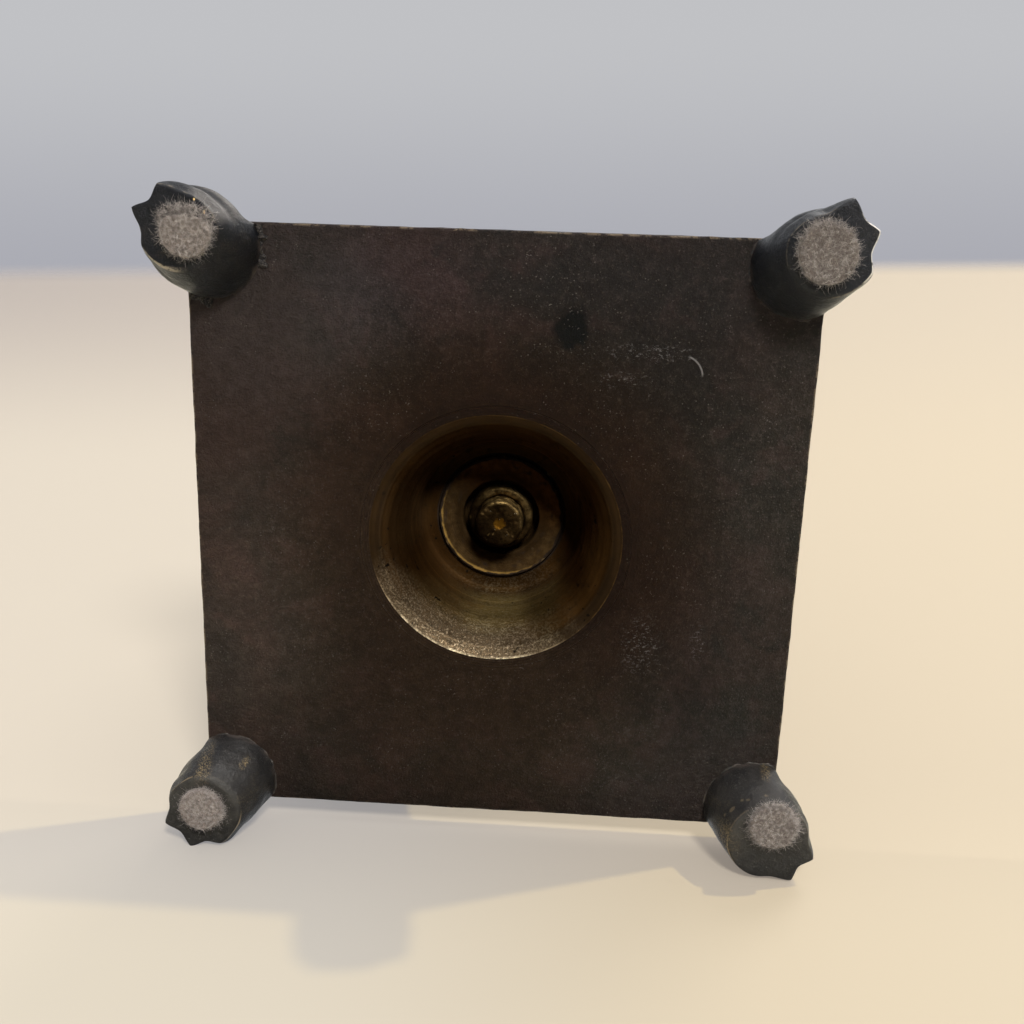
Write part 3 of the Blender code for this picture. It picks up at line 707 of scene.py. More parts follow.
def base_plate():
    """Square plate with its round hole: rings from the hole to the edge, top and bottom, with cast unevenness."""
    around, half, soft = 288, SIDE / 2, 0.00055
    shape = Shape()

    def row(share, inset, z, sign):
        points = []
        for i in range(around):
            c, s = polar(1.0, math.tau * i / around)
            r = mixed(LIP_R + HAIRLINE, (half + inset) / max(abs(c), abs(s)), share)
            x, y = r * c, r * s
            rough = lumps(x, y, 0.0, (0.000045, 130.0, 7.0), (0.00002, 620.0, 1.0)) if 0.02 < share < 0.985 else 0.0
            dent = lumps(x, y, z, (0.0001, 260.0, 3.0), (0.00006, 900.0, 5.0))
            k = 1.0 + dent * (1.0 - eased((half - max(abs(x), abs(y))) / 0.002)) / half
            points.append((x * k, y * k, z + sign * rough))
        return shape.ring(points)

    shares = [i / 46 for i in range(46)]
    rim = [(-soft, 0.0), (-0.35 * soft, 0.12 * soft), (-0.1 * soft, 0.38 * soft), (0.0, soft)]
    rings = [row(share, -soft, PLATE_LOW.z, 1) for share in shares]
    rings += [row(1.0, inset, PLATE_LOW.z + rise, 1) for inset, rise in rim]
    rings += [row(1.0, inset, PLATE_HIGH.z - rise, -1) for inset, rise in reversed(rim)]
    rings += [row(share, -soft, PLATE_HIGH.z, -1) for share in reversed(shares)]
    shape.join_all(rings + rings[:1], flip=True)
    finished(shape.made("plate", PLATE, 40), "stand", "base_plate")


# Feet ------------------------------------------

# Each foot is its own casting: its claws as (degrees from the plate's diagonal, reach from the sole's centre), the
# depth of the hollows between them, the reach of its heel, and how far it swells or narrows higher up
CASTING = {
    "front_left": {
        "claws": ((-73, 0.0064), (-22, 0.0077), (23, 0.0073), (80, 0.0061)), "hollows": (0.0012, 0.0014, 0.0007),
        "heel": 0.0067, "knuckle": 1.06, "toe": 0.0004, "notch": 0.0005, "lobe": (44, 0.0008), "twist": 1.0,
    },
    "front_right": {
        "claws": ((-82, 0.006), (-28, 0.0082), (20, 0.0075), (73, 0.0071)), "hollows": (0.001, 0.0012, 0.0013),
        "heel": 0.0072, "knuckle": 0.97, "toe": 0.0006, "notch": 0.0002, "lobe": (-28, 0.0002), "twist": 0.0,
    },
    "back_left": {
        "claws": ((-70, 0.0071), (-26, 0.008), (23, 0.0078), (68, 0.0067)), "hollows": (0.0012, 0.0014, 0.0008),
        "heel": 0.007, "knuckle": 1.0, "toe": 0.0006, "notch": 0.0001, "lobe": (-64, 0.0004), "twist": 0.0,
    },
    "back_right": {
        "claws": ((-72, 0.0068), (-27, 0.0079), (15, 0.0081), (66, 0.007)), "hollows": (0.0007, 0.0013, 0.0009),
        "heel": 0.008, "knuckle": 1.0, "toe": 0.0006, "notch": 0.0001, "lobe": (-30, 0.0003), "twist": 0.0,
    },
}
HEEL_FROM = 128  # degrees from the diagonal at which the heel's arc begins


def claw_reach(cast, degrees, flute):
    """From the sole's centre to its edge: four pointed claws with hollows between them, and a round heel."""
    claws = cast["claws"]
    for (start, from_reach), (end, to_reach), hollow in zip(claws, claws[1:], cast["hollows"]):
        if start <= degrees <= end:
            share = (degrees - start) / (end - start)
            return mixed(from_reach, to_reach, share) - flute * hollow * math.sin(math.pi * share) ** 1.15
    angle, reach = claws[-1] if degrees > 0 else claws[0]
    share = min(1.0, (abs(degrees) - abs(angle)) / (HEEL_FROM - abs(angle)))
    return mixed(reach, cast["heel"], share * (2 - share))


def root_reach(angle):
    corner = (SIDE / 2 - FOOT_AT - 0.0003) * math.sqrt(2)
    across = abs(math.sin(angle)) + math.cos(angle)
    return min(ROOT_R, corner / across) if across > 0.0 else ROOT_R


def bell_curve(value, middle, width):
    return math.exp(-((value - middle) / width) ** 2)


def foot_point(cast, angle, share):
    """The outline's centre and reach at an angle, from the foot's root (share 0) to its sole (share 1)."""
    degrees = math.degrees(angle)
    toe = eased((share - 0.4) / 0.6)
    flute = eased((share - 0.5) / 0.46)
    flare = eased(share / 0.36)
    front = mixed(KNUCKLE_R * cast["knuckle"], claw_reach(cast, degrees, flute), toe)
    swelling = math.sin(math.pi * min(1.0, max(0.0, (share - 0.6) / 0.42)))
    ridge = max(bell_curve(degrees, claw, 17.0) for claw, _ in cast["claws"])
    lobe_at, lobe = cast["lobe"]
    front += swelling * (cast["toe"] * ridge + lobe * bell_curve(degrees, lobe_at, 26.0))
    front -= cast["notch"] * bell_curve(share, 0.62, 0.07)
    front = mixed(root_reach(angle), front, flare)
    back = (1 - share) * ROOT_R + share * claw_reach(cast, degrees, flute) + 0.0006 * math.sin(math.pi * share)
    facing = eased((math.cos(angle) + 0.75) / 0.9)
    return FOOT_LEAN * share, mixed(back, front, facing)


def foot_angles(cast):
    """Angles round the foot, with one exactly on each claw's point."""
    stops = [math.radians(degrees) for degrees, _ in cast["claws"]]
    stops.append(stops[0] + math.tau)
    counts = (22, 24, 22, 60)
    around = []
    for start, end, count in zip(stops, stops[1:], counts):
        around += [math.remainder(mixed(start, end, i / count), math.tau) for i in range(count)]
    return around


def claw_foot(corner, seed):
    """A cast claw foot: a lean, smooth body that flares over the knuckles to four pointed claws."""
    cast = CASTING[corner]
    sx, sy = CORNERS[corner]
    angles = foot_angles(cast)
    shape = Shape()

    def place(x, y, share):
        c, s = polar(1.0, math.atan2(sy, sx) + math.radians(cast["twist"]) * share)
        return sx * FOOT_AT + x * c - y * s, sy * FOOT_AT + x * s + y * c, mixed(UNDER - HAIRLINE, SOLE, share)

    def row(share):
        points = []
        for angle in angles:
            centre, reach = foot_point(cast, angle, share)
            c, s = polar(1.0, angle)
            lump = lumps(c, s, share, (1.0, 1.7, seed), (0.4, 5.0, seed), (0.2, 12.0, seed))
            reach += lump * 0.00016 * math.sin(math.pi * min(1.0, share * 1.02))
            soft = mixed(0.0003, 0.0007, eased((-c - 0.1) / 0.6))
            below = (1.0 - share) * FOOT_H
            if below < soft:
                reach -= soft * (1.0 - math.sqrt(max(0.0, 1.0 - (1.0 - below / soft) ** 2)))
            points.append(place(centre + reach * c, reach * s, share))
        return shape.ring(points)

    rings = [row(share) for share in [0.0, 0.02] + [i / 44 for i in range(2, 42)] + [0.955, 0.972, 0.985, 0.994, 1.0]]
    shape.join_all(rings)
    # The sole and the root close on rings that shrink to the middle
    for edge, share in ((rings[-1], 1.0), (rings[0], 0.0)):
        middle = place(FOOT_LEAN * share, 0.0, share)
        inward = [edge]
        for k in (0.94, 0.8, 0.6, 0.4, 0.2):
            points = []
            for v in edge:
                x, y = (mixed(middle[axis], shape.verts[v][axis], k) for axis in (0, 1))
                points.append((x, y, middle[2] + 0.00005 * share * wave(x, y, middle[2], 700.0, seed)))
            inward.append(shape.ring(points))
        shape.join_all(inward + [shape.ring([middle])], flip=not share)
    finished(shape.made("foot_" + corner, FOOT, 52), "stand", "claw_foot_" + corner)


def solder_bead(name, corner, start, end, height, spread, seed):
    """A run of solder round part of a foot's root on the plate's underside, lumpy and crumbling."""
    sx, sy = CORNERS[corner]
    turn = math.atan2(sy, sx)
    around, section = 220, 9
    most = SIDE / 2 - 0.0004
    verts, faces = [], []
    for i in range(around + 1):
        angle = math.radians(mixed(start, end, i / around))
        _, reach = foot_point(CASTING[corner], math.remainder(angle, math.tau), 0.05)
        taper = eased(min(i, around - i) / 22)
        dx, dy = polar(reach, turn + angle)
        at = sx * FOOT_AT + dx, sy * FOOT_AT + dy, 0.0
        lump = max(0.12, 0.75 + lumps(*at, (0.75, 420.0, seed), (0.45, 1100.0, seed)))
        for j in range(section):
            t = math.pi * j / (section - 1)
            out = reach - 0.0003 + spread * lump * taper * (0.5 - 0.5 * math.cos(t))
            drop = height * lump * taper * math.sin(t) ** 0.8
            dx, dy = polar(out, turn + angle)
            gx, gy = (max(-most, min(most, part)) for part in (sx * FOOT_AT + dx, sy * FOOT_AT + dy))
            crumb = 0.55 * height * taper * lumps(gx, gy, 0.0, (1.0, 1500.0, seed + 1), (0.6, 3300.0, seed + 2))
            verts.append((gx, gy, UNDER + 0.00008 - max(0.0, drop - crumb * math.sin(t))))
    for i in range(around):
        for j in range(section - 1):
            a = i * section + j
            faces.append((a, a + 1, a + section + 1, a + section))
        a = i * section
        faces.append((a + section - 1, a, a + section, a + 2 * section - 1))
    faces.append(tuple(range(section)))
    faces.append(tuple(reversed(range(around * section, (around + 1) * section))))
    made = make_object(name, verts, faces, SOLDER if height > 0.0002 else FOOT)
    bm = bmesh.new()
    bm.from_mesh(made.data)
    bmesh.ops.recalc_face_normals(bm, faces=bm.faces)
    bm.to_mesh(made.data)
    bm.free()
    finished(made, "stand", None)


# Felt ------------------------------------------

# Each pad as it wore: its size, how fuzzy it is, the way its loose fibres lie in degrees, how far its edge frayed,
# how much of that side wore thin, and how far the wear went beyond it
FUZZ = {
    "front_left": (0.86, 1.6, 275, 1.5, 0.45, 0.8),
    "front_right": (0.95, 1.2, 250, 1.1, -0.1, 0.08),
    "back_left": (0.83, 1.2, 330, 1.0, 0.04, 0.06),
    "back_right": (0.86, 1.9, 300, 1.5, 0.05, 0.12),
}


def felt_pad(corner, seed):
    """A round felt with a soft, uneven face, and its loose fibres."""
    low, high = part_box("felt_pad_" + corner)
    cx, cy = (low.x + high.x) / 2, (low.y + high.y) / 2
    top = SOLE - HAIRLINE
    size, fuzz, lie, frayed, thin, spread = FUZZ[corner]
    lie = math.radians(lie)
    pad_r = FELT_R * size
    around = 96
    radii = (1.0, 1.0, 1.0, 0.99, 0.95, 0.88, 0.78, 0.66, 0.53, 0.4, 0.27, 0.13)
    drops = (0.0, 0.3, 0.62, 0.84, 0.96) + (1.0,) * 7
    shape = Shape()

    def edge_at(angle):
        ragged = 1.0 + lumps(*polar(1.0, angle), 0.0, (0.03, 1.6, seed), (0.022, 6.0, seed))
        return pad_r * (ragged - thin * max(0.0, math.cos(angle - lie)) ** 2)

    rings = []
    for k, drop in zip(radii, drops):
        points = []
        for i in range(around):
            angle = math.tau * i / around
            fray = 0.012 * wave(*polar(1.0, angle), drop, 19.0, seed) if k > 0.9 else 0.0
            dx, dy = polar(edge_at(angle) * k * (1.0 + fray), angle)
            z = mixed(top, low.z + 0.00022, drop)
            if drop > 0.8:
                z += lumps(cx + dx, cy + dy, 0.0, (0.00012, 700.0, seed), (0.00007, 2200.0, seed))
            points.append((cx + dx, cy + dy, z))
        rings.append(shape.ring(points))
    shape.join_all(rings + [shape.ring([(cx, cy, low.z + 0.00022)])])
    shape.faces.append(tuple(reversed(rings[0])))
    finished(shape.made("felt_" + corner, FELT), "stand", "felt_pad_" + corner)

    draw = random.Random(seed)
    shape = Shape()

    def strand(x, y, z, heading, length, rise, curl, thick):
        """One fibre: a thin three-sided tube that bends and dips as it goes."""
        rings = []
        for k in range(5):
            t = k / 4
            bend = heading + curl * t
            if k:
                dx, dy = polar(length / 4, bend)
                x, y = x + dx, y + dy
            pz = z - rise * math.sin(math.pi * t)
            width = thick * (1.0 - 0.6 * t)
            dy, dx = polar(width, bend)
            rings.append(shape.ring([(x - dx, y + dy, pz), (x + dx, y - dy, pz), (x, y, pz - 1.6 * width)]))
        for a, b in zip(rings, rings[1:]):
            for m in range(3):
                n = (m + 1) % 3
                shape.faces.append((a[m], a[n], b[n], b[m]))
        shape.faces += [tuple(reversed(rings[0])), tuple(rings[-1])]

    def loose(count, within, heights, headings, lengths, curl, widths):
        for _ in range(count):
            a = draw.uniform(0, math.tau)
            r = edge_at(a) * math.sqrt(draw.random()) * within
            dx, dy = polar(r, a)
            strand(
                cx + dx, cy + dy, low.z + draw.uniform(*heights), draw.gauss(lie, headings),
                draw.uniform(*lengths), draw.uniform(0.0, 0.0001), draw.uniform(-curl, curl), draw.uniform(*widths),
            )

    loose(1500, 0.98, (0.00012, 0.00026), 1.1, (0.0004, 0.0012), 2.2, (0.000012, 0.000026))
    loose(230, 0.94, (0.00016, 0.00024), 0.9, (0.0006, 0.0014), 1.4, (0.000035, 0.00006))
    for _ in range(int(1000 * fuzz)):
        a = draw.gauss(lie, 0.8) if draw.random() < 0.6 else draw.uniform(0, math.tau)
        r = edge_at(a) * (draw.uniform(0.88, 1.03) + spread * draw.random() * max(0.0, math.cos(a - lie)))
        z = draw.uniform(low.z + 0.0003, top - 0.0002)
        length = draw.uniform(0.0003, 0.001) * mixed(0.7, frayed, 0.6)
        if draw.random() < 0.22:
            length *= 2.0
        dx, dy = polar(r, a)
        strand(
            cx + dx, cy + dy, z, a + draw.uniform(-1.3, 1.3), length,
            draw.uniform(-0.0001, 0.0002), draw.uniform(-2.0, 2.0), draw.uniform(0.00001, 0.000022),
        )
    finished(shape.made("fibres_" + corner, FIBRE), "stand", None)


# Bell, rod and nut -----------------------------

def pedestal_bell():
    """The turned bell, with tool rings cut into its hollow and a rubbed edge on its boss."""
    z = UNDER
    top = BELL_HIGH.z
    flange_r = BELL_HIGH.x
    flange_z = PLATE_HIGH.z + HAIRLINE
    neck_r, bead, soft = 0.017, 0.0011, 0.0008
    flare_z = flange_z + 2 * bead + 0.001
    flare_r = flange_r - 0.0026
    outer = [(ROD_R + GAP, top), (neck_r - soft, top), (neck_r, top - soft)]
    for i in range(1, 25):
        t = math.radians(90 * i / 24)
        rise = (top - 2 * soft - flare_z) * math.sin(t)
        outer.append((flare_r - (flare_r - neck_r) * math.cos(t), top - 2 * soft - rise))
    outer += [(flare_r, flare_z - 0.0003), (flare_r + 0.0004, flare_z - 0.0006), (flange_r - bead, flange_z + 2 * bead)]
    outer += arc(flange_r - bead, flange_z + bead, bead, bead, 80, -90, 10)
    outer += [(LIP_R, flange_z), (LIP_R, z)]
    mouth_r, mouth_depth = 0.1955 * SIDE, 0.0125 * SIDE
    turn = math.radians(55)
    flare_a = (mouth_r - THROAT_R) / (1 - math.cos(turn))
    flare_b = (THROAT_DEPTH - mouth_depth) / math.sin(turn)
    rim = rounded([(LIP_R, z), (MOUTH_R, z), (mouth_r, z + mouth_depth)], 0.00022, 3)[1:]
    wall = []
    for i in range(1, 20):
        t = turn * (1 - i / 24)
        wall.append((THROAT_R + flare_a * (1 - math.cos(t)), z + THROAT_DEPTH - flare_b * math.sin(t)))
    floor_z = z + 0.157 * SIDE
    wall = rounded(rim[-1:] + wall + [(THROAT_R + 0.00005, floor_z), (BOSS_R, floor_z)], 0.0021, 8)[1:-1]
    boss = [
        (BOSS_R, floor_z),
        (BOSS_R, z + THROAT_DEPTH + 0.00022),
        (BOSS_R - 0.00022, z + THROAT_DEPTH),
        (COUNTERBORE_R, z + THROAT_DEPTH),
        (COUNTERBORE_R, z + 0.185 * SIDE),
        (ROD_R + GAP, z + 0.185 * SIDE),
    ]
    hollow = rim + dense(wall, 0.00045) + dense(rounded([wall[-1]] + boss, 0.0003, 3), 0.0004)[1:]
    profile = dense(rounded(outer, 0.0004, 3), 0.0012) + hollow

    def tool_marks(r, angle, height):
        inside = r < MOUTH_R - 0.0002 and height < floor_z + 0.0001 and (height > z + 0.0001)
        if not inside:
            return r, height
        x, y = polar(r, angle)
        if r < BOSS_R + 0.0001:
            lump = lumps(x, y, height, (0.00004, 330.0, 2.0), (0.00003, 1100.0, 4.0))
            return r + 0.3 * lump, height + lump
        ring = 0.000035 * math.sin(r * 5200.0) + 0.000025 * math.sin(r * 1900.0 + 1.0)
        grain = 0.000022 * wave(x, y, height, 1400.0, 6.0)
        return r + ring + grain, height

    made = turned("bell", profile, BELL, 224, tool_marks, 38)
    made.data.materials.append(PLATE)
    for face in made.data.polygons:
        middle = face.center
        if middle.z < z + 0.0003 and math.hypot(middle.x, middle.y) > MOUTH_R - 0.00002:
            face.material_index = 1
    finished(made, "stand", "pedestal_bell")


def rod_nut():
    """Round nut, filed unevenly round its rim."""
    low, high, _ = span("rod_nut")
    bore = ROD_R + 0.00012
    profile = [(bore, high), (NUT_R, high), (NUT_R, low + 0.0004)]
    profile += [(NUT_R - 0.0004, low), (bore + 0.0003, low), (bore, low + 0.0003)]
    profile = dense(rounded(profile, 0.00018, 2), 0.00028)

    def filed(r, angle, height):
        x, y = polar(r, angle)
        lump = lumps(x, y, height, (0.0001, 420.0, 8.0), (0.00005, 1300.0, 9.0))
        return r + (lump if r > bore + 0.0002 else 0.2 * lump), height + (lump if height < low + 0.0006 else 0.0)

    finished(turned("nut", profile, FITTING, 128, filed), "stand", "rod_nut")


def tie_rod():
    """The rod: threaded near its lower end, which is peened and pitted, with a small centre mark."""
    low, high, _ = span("tie_rod")
    end = [(ROD_R - 0.0006, high), (ROD_R, high - 0.0006), (ROD_R, low + 0.009)]
    count = 64
    for i in range(1, count + 1):
        end.append((ROD_R, mixed(low + 0.009, low + 0.0004, i / count)))
    end += [(ROD_R - 0.00008, low + 0.00018), (ROD_R - 0.0003, low + 0.00002)]
    for i in range(1, 17):
        end.append((mixed(ROD_R - 0.0003, 0.0004, i / 17), low))
    profile = [(0.0, high)] + end + [(0.0, low + 0.0002)]
    pitch = 0.0009

    def hammered(r, angle, height):
        x, y = polar(r, angle)
        if height > low + 0.0095:
            return r, height
        if r > ROD_R - 0.0001 and height > low + 0.0008:
            turn = (height / pitch + angle / math.tau) % 1.0
            cut = 0.00022 * (1.0 - abs(2.0 * turn - 1.0) ** 1.5)
            burr = 0.00008 * wave(x, y, height, 700.0, 12.0)
            flat = 0.00018 * max(0.0, math.cos(3 * angle + 0.7)) ** 6
            fade = eased((height - low - 0.0008) / 0.0008)
            return r - cut * fade + burr - flat * (1.0 - fade), height
        blow = lumps(x, y, 0.0, (0.00016, 480.0, 15.0), (0.00008, 1500.0, 16.0))
        pit = -0.00035 * max(0.0, wave(x, y, 0.0, 820.0, 21.0) - 0.28)
        chip = 0.00016 * max(0.0, math.cos(3 * angle + 0.7)) ** 3 * (r / ROD_R) ** 6
        mark = 0.0003 * math.exp(-(r / 0.001) ** 2)
        return r - chip + 0.3 * blow, height + abs(blow) - pit + mark + 0.6 * chip

    finished(turned("rod", profile, FITTING, 160, hammered, 50), "stand", "tie_rod")


# Stem, bowl and dome ---------------------------

def stem():
    bore = ROD_R + GAP
    low, high, ring_r = span("stem_ring")
    bead = (high - low) / 2
    profile = [(bore, high), (ring_r - bead - 0.0012, high), (ring_r - bead - 0.0006, high - 0.0004)]
    profile += arc(ring_r - bead, low + bead, bead, bead, 80, -80, 20)
    profile += [(ring_r - bead - 0.0006, low + 0.0004), (ring_r - bead - 0.0012, low), (bore, low)]
    finished(turned("ring", profile, STEM, 144), "stand", "stem_ring")

    low, high, knop_r = span("stem_knop")
    height = high - low
    foot_r, head_r, neck_r, band = 0.0135, 0.0115, 0.0075, 0.0013
    bulb_z, bulb_h = low + 0.44 * height, 0.28 * height
    profile = [(bore, high), (head_r, high), (head_r, high - band)]
    profile += [(head_r - 0.0005, high - band - 0.0003)]
    profile += arc(head_r, high - band - 0.0052, head_r - neck_r, 0.0049, 98, 180, 14)
    profile += arc(knop_r - 0.0085, bulb_z, 0.0085, bulb_h, 72, -60, 26)
    profile += arc(foot_r, low + band + 0.0022, 0.0038, 0.0022, 180, 262, 12)
    profile += [(foot_r, low + band + 0.0001), (foot_r, low), (bore, low)]
    profile = dense(rounded(profile, 0.0003, 3), 0.001)
    finished(turned("knop", profile, STEM, 160), "stand", "stem_knop")

    low, high, calyx_r = span("bowl_calyx")
    profile = [(bore, high), (calyx_r - 0.0006, high), (calyx_r, high - 0.0006)]
    profile += arc(0.0118, high - 0.0006, calyx_r - 0.0118, high - low - 0.0006, -6, -90, 20)
    profile.append((bore, low))
    profile = dense(rounded(profile, 0.00025, 3), 0.001)
    finished(turned("calyx", profile, STEM, 160), "stand", "bowl_calyx")


def bowl():
    """The turned bowl, with a rolled lip, two scribed lines under it, and a ledge inside for the dome."""
    low, rim = BOWL_LOW.z, BOWL_HIGH.z
    lip_r, seat_r, foot_r, boss_r = BOWL_HIGH.x, 0.0464, 0.02, 0.0085
    seat, belly, floor_z = rim - 0.0034, rim - 0.007, low + 0.0027
    inner_r = BOWL_R - BOWL_WALL
    roll = (lip_r - seat_r) / 2
    profile = [(0.0, low + 0.0082), (boss_r - 0.0012, low + 0.0082), (boss_r, low + 0.007)]
    profile.append((boss_r + 0.0008, floor_z))
    profile += arc(foot_r, belly, inner_r - foot_r, belly - floor_z, -88, 0, 28)
    profile += [(inner_r, seat), (seat_r, seat), (seat_r, rim - roll)]
    profile += arc(lip_r - roll, rim - roll, roll, roll, 170, -8, 16)
    profile += arc(lip_r, rim - roll - 0.0032, lip_r - BOWL_R, 0.003, 95, 175, 8)
    line = belly + 0.0004
    for drop in (0.0, 0.0016):
        profile += [
            (BOWL_R - deep, line - drop - down)
            for deep, down in ((0.0, 0.0), (0.00025, 0.0002), (0.00025, 0.0004), (0.0, 0.0006))
        ]
    profile += arc(foot_r, belly - 0.0025, BOWL_R - foot_r, belly - 0.0025 - low, 0, -90, 40)
    bore = ROD_R + GAP
    profile += [(bore, low), (bore, low + 0.0057), (0.0, low + 0.0057)]
    profile = dense(rounded(profile, 0.0003, 3), 0.0014)
    finished(turned("bowl_body", profile, BOWL, 224, None, 30), "stand", "bowl")


def dome():
    """The pierced dome: turned, bored for the stems, with each hole's edge eased."""
    low, _, flange_r = span("frog_dome")
    seat, thick = low + 0.0033, 0.0018
    skirt_r = BOWL_R - BOWL_WALL - GAP
    spring_r = skirt_r - 0.0006
    crown_z = seat + 0.0142
    rise = crown_z - seat - thick
    ball = (spring_r ** 2 + rise ** 2) / (2 * rise)
    start, end = math.asin(0.007 / ball), math.asin(spring_r / ball)
    centre = crown_z - ball
    flat = centre + ball * math.cos(start)
    shank = 0.0018 + GAP

    def cap(radius, first, last):
        angles = (mixed(first, last, i / 40) for i in range(41))
        return [(radius * math.sin(a), centre + radius * math.cos(a)) for a in angles]

    profile = [(shank, flat), (0.0062, flat)] + cap(ball, start, end)
    profile += [(flange_r, seat + thick), (flange_r, seat), (skirt_r, seat), (skirt_r, low), (skirt_r - thick, low)]
    profile += cap(ball - thick, end, start) + [(shank, flat - thick)]
    profile = dense(rounded(profile, 0.00028, 3), 0.0012)
    made = turned("dome_body", profile, DOME, 208, None, 30)
    cutter_mesh = bpy.data.meshes.new("stem_holes")
    bm = bmesh.new()
    for count, circle in HOLE_ROWS:
        for i in range(count):
            at = Matrix.Translation((*polar(circle, math.tau * (i + 0.5) / count), seat + 0.005))
            bmesh.ops.create_cone(bm, cap_ends=True, segments=48, radius1=HOLE_R, radius2=HOLE_R, depth=0.04, matrix=at)
    bm.to_mesh(cutter_mesh)
    bm.free()
    cutter = bpy.data.objects.new("stem_holes", cutter_mesh)
    bpy.context.scene.collection.objects.link(cutter)
    cut = made.modifiers.new("holes", "BOOLEAN")
    cut.operation, cut.object, cut.solver = "DIFFERENCE", cutter, "EXACT"
    ease = made.modifiers.new("eased", "BEVEL")
    ease.width, ease.segments = 0.00028, 3
    ease.limit_method, ease.angle_limit = "ANGLE", math.radians(60)
    bpy.context.view_layer.update()
    graph = bpy.context.evaluated_depsgraph_get()
    mesh = bpy.data.meshes.new_from_object(made.evaluated_get(graph))
    made.modifiers.clear()
    made.data = mesh
    mesh.polygons.foreach_set("use_smooth", [True] * len(mesh.polygons))
    mesh.set_sharp_from_angle(angle=math.radians(35))
    bpy.data.objects.remove(cutter)
    finished(made, "dome", "frog_dome")


def knob():
    low, high, ball_r = span("frog_knob")
    base = high - 0.0125
    ball_z = high - ball_r
    profile = [(0.0, high), (0.0005, high - 0.00001)]
    profile += arc(0.0, ball_z, ball_r, ball_r, 82, 8, 20)
    profile += [(ball_r - 0.0002, ball_z + 0.0004), (ball_r - 0.0002, ball_z - 0.0004)]
    profile += arc(0.0, ball_z, ball_r, ball_r, -8, -54, 12)
    profile += [(0.0027, base + 0.0024), (0.0026, base + 0.002), (0.0044, base + 0.0014)]
    profile += [(0.005, base + 0.0009), (0.005, base)]
    profile += [(0.0018, base), (0.0018, low + 0.0002), (0.0016, low), (0.0, low)]
    profile = dense(rounded(profile, 0.0003, 3), 0.0008)
    finished(turned("knob_body", profile, KNOB, 128), "dome", "frog_knob")

    low, high, nut_r = span("knob_nut")
    bore = 0.0021
    shape = Shape()
    rings = []
    for r, z in (
        (bore, high), (0.003, high), (0.92, high), (1.0, high - 0.0003), (1.0, low + 0.0003), (0.92, low), (0.003, low),
        (bore, low),
    ):
        points = []
        for i in range(48):
            angle = math.tau * i / 48
            flat = math.cos(math.pi / 6) / math.cos((angle % (math.pi / 3)) - math.pi / 6)
            reach = r * nut_r * (flat if r == 1.0 else min(1.0, flat * 1.02)) if r > 0.5 else r
            points.append((*polar(reach, angle), z))
        rings.append(shape.ring(points))
    shape.join_all(rings + rings[:1])
    finished(shape.made("knob_nut_body", KNOB, 25), "dome", "knob_nut")


base_plate()
for number, place_name in enumerate(CORNERS):
    claw_foot(place_name, 3.1 + 2.7 * number)
    felt_pad(place_name, 40 + number)
solder_bead("solder_front_left", "front_left", 100, 158, 0.00075, 0.0024, 1.0)
solder_bead("solder_front_left_low", "front_left", 222, 261, 0.0005, 0.0016, 5.0)
for number, place_name in enumerate(("front_right", "back_left", "back_right")):
    solder_bead("solder_" + place_name, place_name, 98, 262, 0.00018, 0.0006, 2.0 + number)
pedestal_bell()
rod_nut()
tie_rod()
stem()
bowl()
dome()
knob()


# Stage -----------------------------------------

scene = bpy.context.scene
FOOT_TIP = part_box("claw_foot_back_left")[1].y
TABLE_TILT = math.atan2(FOOT_TIP - BOWL_HIGH.x, BOWL_HIGH.z - LIP_WIDEST - SOLE)
TABLE_TURN = math.radians(-14.3)
TABLE_END = 0.676  # how far beyond the feet the table goes, seen from below

# The camera, below the plate and to the front
CAMERA_AT = Vector((0.01266, -0.05777, -0.18103))
CAMERA_AIM = Vector((0.00296, -0.00561, UNDER))
CAMERA_ROLL = math.radians(-1.833)
CAMERA_LENS = 38.63

TABLE_ALONG = Vector((0.0, -math.sin(TABLE_TILT), math.cos(TABLE_TILT)))
TABLE_UP = Vector((0.0, -math.cos(TABLE_TILT), -math.sin(TABLE_TILT)))
TABLE_ACROSS = TABLE_ALONG.cross(TABLE_UP).normalized()
TABLE_FAR = (TABLE_ALONG * math.cos(TABLE_TURN) + TABLE_ACROSS * math.sin(TABLE_TURN)).normalized()
TABLE_FROM = Vector((0.0, FOOT_TIP + 0.0001, SOLE))


def stage_plane(name, corners, finish):
    mesh = bpy.data.meshes.new(name)
    mesh.from_pydata(corners, [], [(0, 1, 2, 3)])
    mesh.materials.append(finish)
    made = bpy.data.objects.new(name, mesh)
    scene.collection.objects.link(made)
    made.visible_shadow = False
    return made


